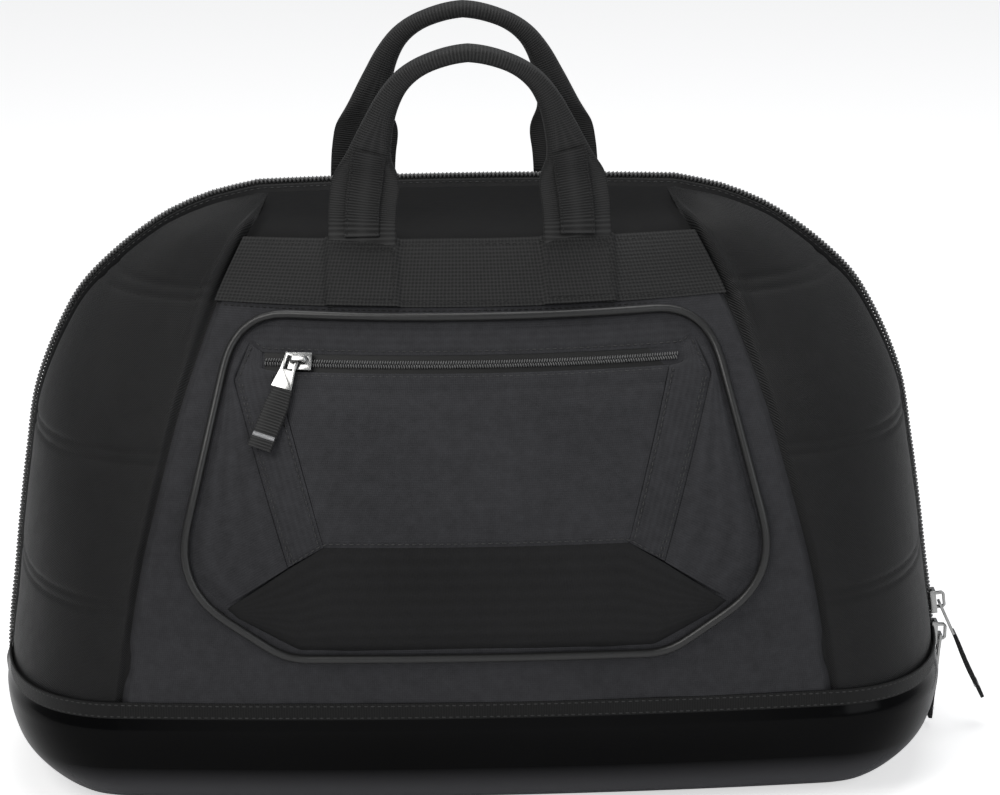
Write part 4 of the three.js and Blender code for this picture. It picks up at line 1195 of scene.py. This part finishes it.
def makeHandles():
    cut = handleCut
    frames, flats = handleFrames()
    sections, depths = [], []
    for flat in flats:
        wide = cut["gripThick"] * cut["gripFill"] + (cut["width"] - cut["gripThick"]) * flat
        deep = cut["wall"] + (cut["gripWidth"] - cut["wall"]) * (1 - flat)
        depths.append(deep)
        edge = min(wide, deep) * (cut["legCorner"] + cut["gripCorner"] * (1 - flat))
        sections.append(rounded(wide, deep, edge))
    front = sweep("handle_loop_front", frames, sections)
    back = mirrored(front, "handle_loop_back", flipY=True)

    # second layer of webbing down the middle of each leg
    reach = [i for i in range(cut["legSteps"], len(frames) // 2) if flats[i] > cut["stripEnd"]]
    lifted = [(frames[i][0] + frames[i][2] * (depths[i] / 2 + cut["stripWall"] / 2), *frames[i][1:])
              for i in reach]
    strips = []
    for flip in (False, True):
        strip = sweep("leg", lifted, rounded(cut["stripWidth"], cut["stripWall"], cut["stripCorner"]))
        if flip:
            strip.data.transform(Matrix.Diagonal((-1, 1, 1, 1)))
            strip.data.flip_normals()
        strips.append(strip)
    pick(strips[0])
    strips[1].select_set(True)
    bpy.ops.object.join()
    legs = strips[0]
    legs.name = legs.data.name = "handle_legs_front"
    legsBack = mirrored(legs, "handle_legs_back", flipY=True)
    for obj, nodes in ((front, ["handle_front"]), (back, ["handle_back"]), (legs, []), (legsBack, [])):
        finishPiece(obj, finishes["handle"], nodes)
        soften(obj, 50)

    lines = []
    for x in (-cut["gap"] / 2, cut["gap"] / 2):
        for fromX, fromH, toX, toH in cut["boxLines"]:
            points, outs = [], []
            for k in range(cut["boxSteps"] + 1):
                share = k / cut["boxSteps"]
                px = x + (fromX + (toX - fromX) * share) * cut["boxWidth"] / 2
                ph = cut["foot"] + cut["boxUp"] + (fromH + (toH - fromH) * share) * cut["boxTall"]
                points.append(onMiddle(px, ph, bandLift(px) + cut["boxLift"]))
                outs.append(middleOut(px, ph))
            lines += [(points, outs), acrossY((points, outs))]
    for side in (-cut["stripStitch"], cut["stripStitch"]):
        points = [frames[i][0] + frames[i][1] * side * cut["stripWidth"]
                  + frames[i][2] * (depths[i] / 2 + cut["stripWall"]) for i in reach]
        line = (points, [frames[i][2] for i in reach])
        lines += [line, acrossX(line), acrossY(line), acrossX(acrossY(line))]
    sewStitches("handle_stitches", lines, look="tape")


# Pocket, laid out on the front panel by height and by share of the piping's half width

pocketCut = {
    "top": 250 * mm, "wide": 124 * mm, "foot": 87 * mm, "topWidth": 234 * mm, "wideWidth": 300 * mm,
    "footWidth": 189 * mm, "face": 1.5 * mm, "fullest": 9.5 * mm, "cloth": 1.2 * mm,
    "zip": 229 * mm, "zipHalf": 103 * mm, "tapeHalf": 4.3 * mm, "flapHalf": 97 * mm, "flapLift": 3.9 * mm,
    "zipEnd": 1.4 * mm, "zipFrameLift": 2 * mm, "turned": 0.5 * mm, "waves": 0.35 * mm, "waveSize": 24 * mm,
    "foldDrop": 8 * mm, "foldDeep": 0.8 * mm, "foldHalf": 1.3 * mm, "sag": 0.5 * mm,
    "pipingRadius": 2.2 * mm, "pipingLift": 0.5 * mm, "pipingSteps": 230, "pipingSides": 12,
    "cornerRadii": (34 * mm, 44 * mm, 34 * mm), "cornerSteps": 8,
    # each corner: share of the half width, of the height, and of the fullness
    "corners": {
        "capTop": (0.88, 0.972, 0), "capSide": (0.935, 0.948, 0), "capLow": (0.915, 0.925, 0),
        "stripTop": (0.9186, 0.92, 0.06), "stripBend": (0.945, 0.816, 0.19), "hinge": (0.627, 0.288, 0.71),
        "crease": (0.5156, 0.356, 1), "wingTop": (0.947, 0.936, 0), "wingBend": (0.973, 0.875, 0),
        "wingWide": (0.979, 0.352, 0), "wingLow": (0.944, 0.252, 0), "wingFoot": (0.936, 0.162, 0),
        "creaseEnd": (0.937, 0.155, 0), "facetSide": (0.944, 0.129, 0), "facetFoot": (0.881, 0.022, 0),
    },
}


def pocketHalf(height):
    cut = pocketCut
    upper = height > cut["wide"]
    end, width = (cut["top"], cut["topWidth"]) if upper else (cut["foot"], cut["footWidth"])
    share = (height - cut["wide"]) / (end - cut["wide"])
    return (cut["wideWidth"] + (width - cut["wideWidth"]) * share) / 2


def corner(name, across=0.0, up=0.0):
    cut = pocketCut
    share, level, rise = cut["corners"][name]
    height = cut["foot"] + level * (cut["top"] - cut["foot"])
    return Vector((share * pocketHalf(height) + across * mm, height + up * mm,
                   cut["face"] + rise * (cut["fullest"] - cut["face"])))


def spot(x, height, lift):
    return Vector((x, height, lift))


def acrossPocket(half):
    return [Vector((-p.x, p.y, p.z)) for p in half[::-1]] + half


def edgeAt(edge, share):
    runs = [0]
    for a, b in zip(edge, edge[1:]):
        runs.append(runs[-1] + (b - a).length)
    at = share * runs[-1]
    i = 0
    while i < len(runs) - 2 and runs[i + 1] < at:
        i += 1
    return edge[i].lerp(edge[i + 1], (at - runs[i]) / (runs[i + 1] - runs[i]))


def pocketCloth(name, edgeA, edgeB, columns, rows, puff, nodes, look="panel", dips=None, flip=False):
    def place(u, v):
        here = edgeAt(edgeA, u).lerp(edgeAt(edgeB, u), v)
        rim = min(min(u, 1 - u) * columns, min(v, 1 - v) * rows)
        soft = smoothStep(0, 0.5, min(v, 1 - v) * 2) * smoothStep(0, 0.3, min(u, 1 - u) * 2)
        wave = noise.noise(Vector((here.x, here.y, 5.5)) / pocketCut["waveSize"]) * pocketCut["waves"]
        # the outermost row is turned under
        turned = -pocketCut["turned"] if rim < 0.5 else 0
        lift = here.z + soft * puff * mm + smoothStep(0, 4, rim) * wave + turned
        lift += dips(u, v, here) if dips else 0
        return onMiddle(-here.x if flip else here.x, here.y, lift)

    cloth = gridSheet(name, columns, rows, place, (edgeLength(edgeA), (edgeA[0] - edgeB[0]).length))
    faceOut(cloth, lambda p: Vector((0, -1, 0)))
    if rows > 8 and not dips:
        holdAndSmooth(cloth)
    thicken(cloth, pocketCut["cloth"])
    finishPiece(cloth, finishes[look], nodes)
    soften(cloth, 50)


def edgeLength(edge):
    return sum((b - a).length for a, b in zip(edge, edge[1:]))


def pocketSeams():
    cut = pocketCut
    flapEdge, zipUpper = cut["zip"] - cut["tapeHalf"], cut["zip"] + cut["tapeHalf"]
    zipEnd = cut["zipHalf"] + cut["zipEnd"]
    zipCorner = spot(zipEnd, zipUpper, cut["zipFrameLift"])
    flapCorners = [spot(hand * cut["flapHalf"], flapEdge, cut["flapLift"]) for hand in (-1, 1)]
    return {
        "flapUpper": flapCorners,
        "flapLower": acrossPocket([corner("crease")]),
        "creaseLine": acrossPocket([corner("crease"), corner("hinge"), corner("creaseEnd")]),
        "facetFoot": acrossPocket([corner("facetFoot"), corner("facetSide")]),
        "capUpper": acrossPocket([corner("capTop"), corner("capSide")]),
        "capLower": acrossPocket([zipCorner, corner("capLow")]),
        "stripOuter": [corner("stripTop"), corner("stripBend"), corner("hinge", 0, 1)],
        "stripInner": [
            zipCorner,
            spot(zipEnd, flapEdge + 1 * mm, cut["zipFrameLift"]),
            spot(cut["flapHalf"] + 0.4 * mm, flapEdge, cut["flapLift"] - 0.2 * mm),
            corner("crease", 0.2),
        ],
        "wingInner": [corner("stripTop", 0.2), corner("stripBend", 0.2), corner("hinge", 0.2, 0.6)],
        "wingOuter": [corner(n) for n in ("wingTop", "wingBend", "wingWide", "wingLow", "wingFoot")],
    }


def makePocket():
    cut = pocketCut
    seams = pocketSeams()

    # the flap is folded under its upper seam and sags a little toward the crease
    def flapFold(u, v, here):
        below = seams["flapUpper"][0].y - here.y
        fold = cut["foldDeep"] * math.exp(-((below - cut["foldDrop"]) / cut["foldHalf"])**2)
        return -fold - cut["sag"] * smoothStep(0, 1, v) * (1 - v)

    pocketCloth("pocket_flap_cloth", seams["flapUpper"], seams["flapLower"], 110, 56, 1.6,
                ["pocket_flap"], dips=flapFold)
    pocketCloth("pocket_facet_cloth", seams["creaseLine"], seams["facetFoot"], 150, 36, 2.2,
                ["pocket_facet"], look="facet")
    pocketCloth("pocket_cap_cloth", seams["capUpper"], seams["capLower"], 120, 6, 0.2, ["pocket_top_strip"])
    for side, flip in (("left", True), ("right", False)):
        pocketCloth("pocket_strip_cloth_" + side, seams["stripOuter"], seams["stripInner"], 70, 12, 0.8,
                    ["pocket_strip_" + side], flip=flip)
        pocketCloth("pocket_wing_cloth_" + side, seams["wingInner"], seams["wingOuter"], 70, 22, 1.4,
                    ["pocket_wing_" + side], flip=flip)
    makePiping()
    makePocketZip()
    sewPocket(seams)


# six corners, each rounded with a curve that meets both its sides
def pipingOutline():
    cut = pocketCut
    right = [Vector((cut[name + "Width"] / 2, cut[name])) for name in ("top", "wide", "foot")]
    corners = right + [Vector((-p.x, p.y)) for p in right[::-1]]
    radii = cut["cornerRadii"] + cut["cornerRadii"][::-1]
    outline = []
    for i, here in enumerate(corners):
        back = (corners[i - 1] - here).normalized()
        ahead = (corners[(i + 1) % len(corners)] - here).normalized()
        reach = radii[i] / math.tan(math.acos(back.dot(ahead)) / 2)
        first, last = here + back * reach, here + ahead * reach
        for k in range(cut["cornerSteps"] + 1):
            t = k / cut["cornerSteps"]
            outline.append(first * (1 - t)**2 + here * 2 * t * (1 - t) + last * t**2)
    return [Vector((p.x, p.y, 0)) for p in outline]


def makePiping():
    cut = pocketCut
    flat = pipingOutline()
    step = edgeLength(flat + flat[:1]) / cut["pipingSteps"]
    marks = [m[0] for m in evenly(flat, step, closed=True)]
    points = [onMiddle(p.x, p.y, cut["pipingRadius"] + cut["pipingLift"]) for p in marks]
    frames = framesAlong(points, [middleOut(p.x, p.y) for p in marks], closed=True)
    section = circle(cut["pipingRadius"], cut["pipingSides"])
    piping = sweep("pocket_piping_cord", frames, section, closed=True)
    finishPiece(piping, finishes["piping"], ["pocket_piping"])
    soften(piping, 60)


pocketZipCut = {
    "tapeGap": 0.2 * mm, "tapeLift": 1.3 * mm, "tapeWall": 0.9 * mm,
    "columns": 80, "rows": 4, "flat": (0.2, 0.004),
    "pitch": 1.25 * mm, "toothOut": 0.85 * mm, "toothLift": 2 * mm, "toothSlant": 0.25,
    "toothReach": 2.3 * mm, "toothWide": 0.95 * mm, "toothTall": 1.3 * mm,
}


def makePocketZip():
    cut = pocketZipCut
    level, half = pocketCut["zip"], pocketCut["zipHalf"]
    tapes = []
    for hand in (-1, 1):
        def place(u, v):
            height = level + hand * (cut["tapeGap"] + (pocketCut["tapeHalf"] - cut["tapeGap"]) * v)
            return onMiddle(half * (2 * u - 1), height, cut["tapeLift"])

        tape = gridSheet("tape", cut["columns"], cut["rows"], place, cut["flat"])
        faceOut(tape, lambda p: Vector((0, -1, 0)))
        thicken(tape, cut["tapeWall"])
        tapes.append(tape)
    pick(tapes[0])
    tapes[1].select_set(True)
    bpy.ops.object.join()
    tapes[0].name = tapes[0].data.name = "pocket_zip_tapes"
    finishPiece(tapes[0], finishes["tape"], ["pocket_zip_tape"])

    frames = []
    for i in range(int(2 * half / cut["pitch"])):
        for hand in (-1, 1):
            x = -half + (i + 0.5 + 0.25 * hand) * cut["pitch"]
            out = middleOut(x, level)
            slant = Vector((cut["toothSlant"], 0, hand))
            across = (slant - out * out.dot(slant)).normalized()
            seat = onMiddle(x, level + hand * cut["toothOut"], cut["toothLift"])
            frames.append((seat, out.cross(across).normalized(), out, across))
    tooth = threadBead("pocket_tooth", cut["toothReach"], cut["toothWide"], cut["toothTall"])
    finishPiece(manyOf("pocket_zip_teeth", tooth, frames), finishes["coil"], ["pocket_zip_coil"])


seamCut = {"from": 0.015, "to": 0.985, "steps": 59}


# a row of stitches beside an edge; the shift and the lift are in mm
def seamStitch(edge, shift, lift):
    cut = seamCut
    points, outs = [], []
    for k in range(cut["steps"] + 1):
        here = edgeAt(edge, cut["from"] + (cut["to"] - cut["from"]) * k / cut["steps"])
        x, height = here.x + shift[0] * mm, here.y + shift[1] * mm
        points.append(onMiddle(x, height, here.z + lift * mm))
        outs.append(middleOut(x, height))
    return points, outs


def sewPocket(seams):
    flap, strip, inner = seams["flapUpper"], seams["stripOuter"], seams["stripInner"]
    lines = [
        seamStitch(flap, (0, -1.6), 0.1),
        seamStitch(flap, (0, -8), -0.1),
        seamStitch(seams["capLower"], (0, 1.6), 0.1),
        seamStitch(seams["creaseLine"][1:5], (0, 1.7), 0.5),
    ]
    for edge, shift, lift in ((strip, (-2, 0), 0.5), (strip[1:], (-3.6, 0), 0.7), (inner[2:], (2, 0), 0.6)):
        line = seamStitch(edge, shift, lift)
        lines += [line, acrossX(line)]
    sewStitches("pocket_stitches", lines)


# Sliders, tabs and grips

pullCut = {
    "bevel": 0.28 * mm, "bevelAngle": 35, "merge": 0.005 * mm, "flatAngle": 2,
    "pulls": {"main_a": "main_pull_a", "main_b": "main_pull_b", "pocket": "pocket_pull"},
}
gripCut = {
    "steps": 26, "sway": 0.25 * mm, "swayTurns": 7, "corner": 0.7 * mm,
    # width and thickness: shares of the solid's, at the tab's end, at the tack and at both ends
    "neck": 0.8, "neckTo": 0.3, "tackPinch": 0.05, "tackHalf": 0.03,
    "ends": 0.75, "tackPress": 0.3, "pressHalf": 0.04,
    "tackAt": 0.8, "tacks": 20, "tackSpread": 0.94, "tackSeat": 0.72,
    "tackLong": 2.6 * mm, "tackWide": 0.6 * mm, "tackTall": 0.9 * mm,
}


# the solid's own mesh with its edges rounded
def refined(node, name):
    cut = pullCut
    obj = bpy.data.objects.new(name, frame["nodes"][node].data.copy())
    bpy.context.scene.collection.objects.link(obj)
    apply(obj, "WELD", merge_threshold=cut["merge"])
    pick(obj)
    bpy.ops.object.mode_set(mode="EDIT")
    bpy.ops.mesh.select_all(action="SELECT")
    bpy.ops.mesh.dissolve_limited(angle_limit=math.radians(cut["flatAngle"]))
    bpy.ops.object.mode_set(mode="OBJECT")
    angle = math.radians(cut["bevelAngle"])
    apply(obj, "BEVEL", width=cut["bevel"], segments=3, limit_method="ANGLE", angle_limit=angle)
    soften(obj, 35)
    return obj


def makePulls():
    for name, body in pullCut["pulls"].items():
        for part, rider in (("_slider", "root"), ("_tab", body)):
            cast = refined(name + part, name + part + "_cast")
            finishPiece(cast, finishes["nickel"], [name + part], rider)
        makeGrip(name, body)


# long, wide and thin way of the grip, as its solid lies in the frame, and half its size each way
def gripPlace(name):
    places = np.array([v.co for v in frame["nodes"][name + "_grip"].data.vertices])
    middle = places.mean(axis=0)
    _, ways = np.linalg.eigh(np.cov((places - middle).T))
    length, width, out = (Vector(ways[:, k]) for k in (2, 1, 0))
    tab = np.array([v.co for v in frame["nodes"][name + "_tab"].data.vertices]).mean(axis=0)
    if length.dot(Vector(middle - tab)) < 0:
        length.negate()
    if width.cross(length).dot(out) < 0:
        width.negate()
    reach = [np.ptp((places - middle) @ np.array(way)) / 2 for way in (length, width, out)]
    ends = (places - middle) @ np.array(length)
    centre = Vector(middle) + length * float(ends.max() + ends.min()) / 2
    return centre, (length, width, out), reach


def makeGrip(name, body):
    cut = gripCut
    centre, (length, width, out), reach = gripPlace(name)
    frames, sections = [], []
    for i in range(cut["steps"] + 1):
        at = i / cut["steps"]
        wave = math.sin(at * cut["swayTurns"] + 1) * cut["sway"]
        frames.append((centre + length * reach[0] * (2 * at - 1) + out * wave, width, out))
        away = at - cut["tackAt"]
        pinch = cut["neck"] + (1 - cut["neck"]) * smoothStep(0, cut["neckTo"], at)
        pinch -= cut["tackPinch"] * math.exp(-(away / cut["tackHalf"])**2)
        thick = cut["ends"] + (1 - cut["ends"]) * math.sin(math.pi * at)
        thick -= cut["tackPress"] * math.exp(-(away / cut["pressHalf"])**2)
        sections.append(rounded(2 * reach[1] * pinch, 2 * reach[2] * thick, cut["corner"] * thick))
    grip = sweep(name + "_grip_loop", frames, sections)
    finishPiece(grip, finishes["handle"], [name + "_grip"], body)
    soften(grip, 50)

    # bar of bright thread near the end, on both faces
    tacks = []
    for hand in (-1, 1):
        for k in range(cut["tacks"]):
            across = (2 * (k + 0.5) / cut["tacks"] - 1) * reach[1] * cut["tackSpread"]
            place = centre + length * reach[0] * (2 * cut["tackAt"] - 1) + width * across
            tacks.append((place + out * hand * reach[2] * cut["tackSeat"], width, out * hand, length))
    bead = threadBead("tack", cut["tackLong"], cut["tackWide"], cut["tackTall"])
    finishPiece(manyOf(name + "_grip_tack", bead, tacks), finishes["silver"], [], body)


print("band and handles")
makeBands()
makeHandles()
print("pocket")
makePocket()
print("zip pulls")
makePulls()

print("finishing")
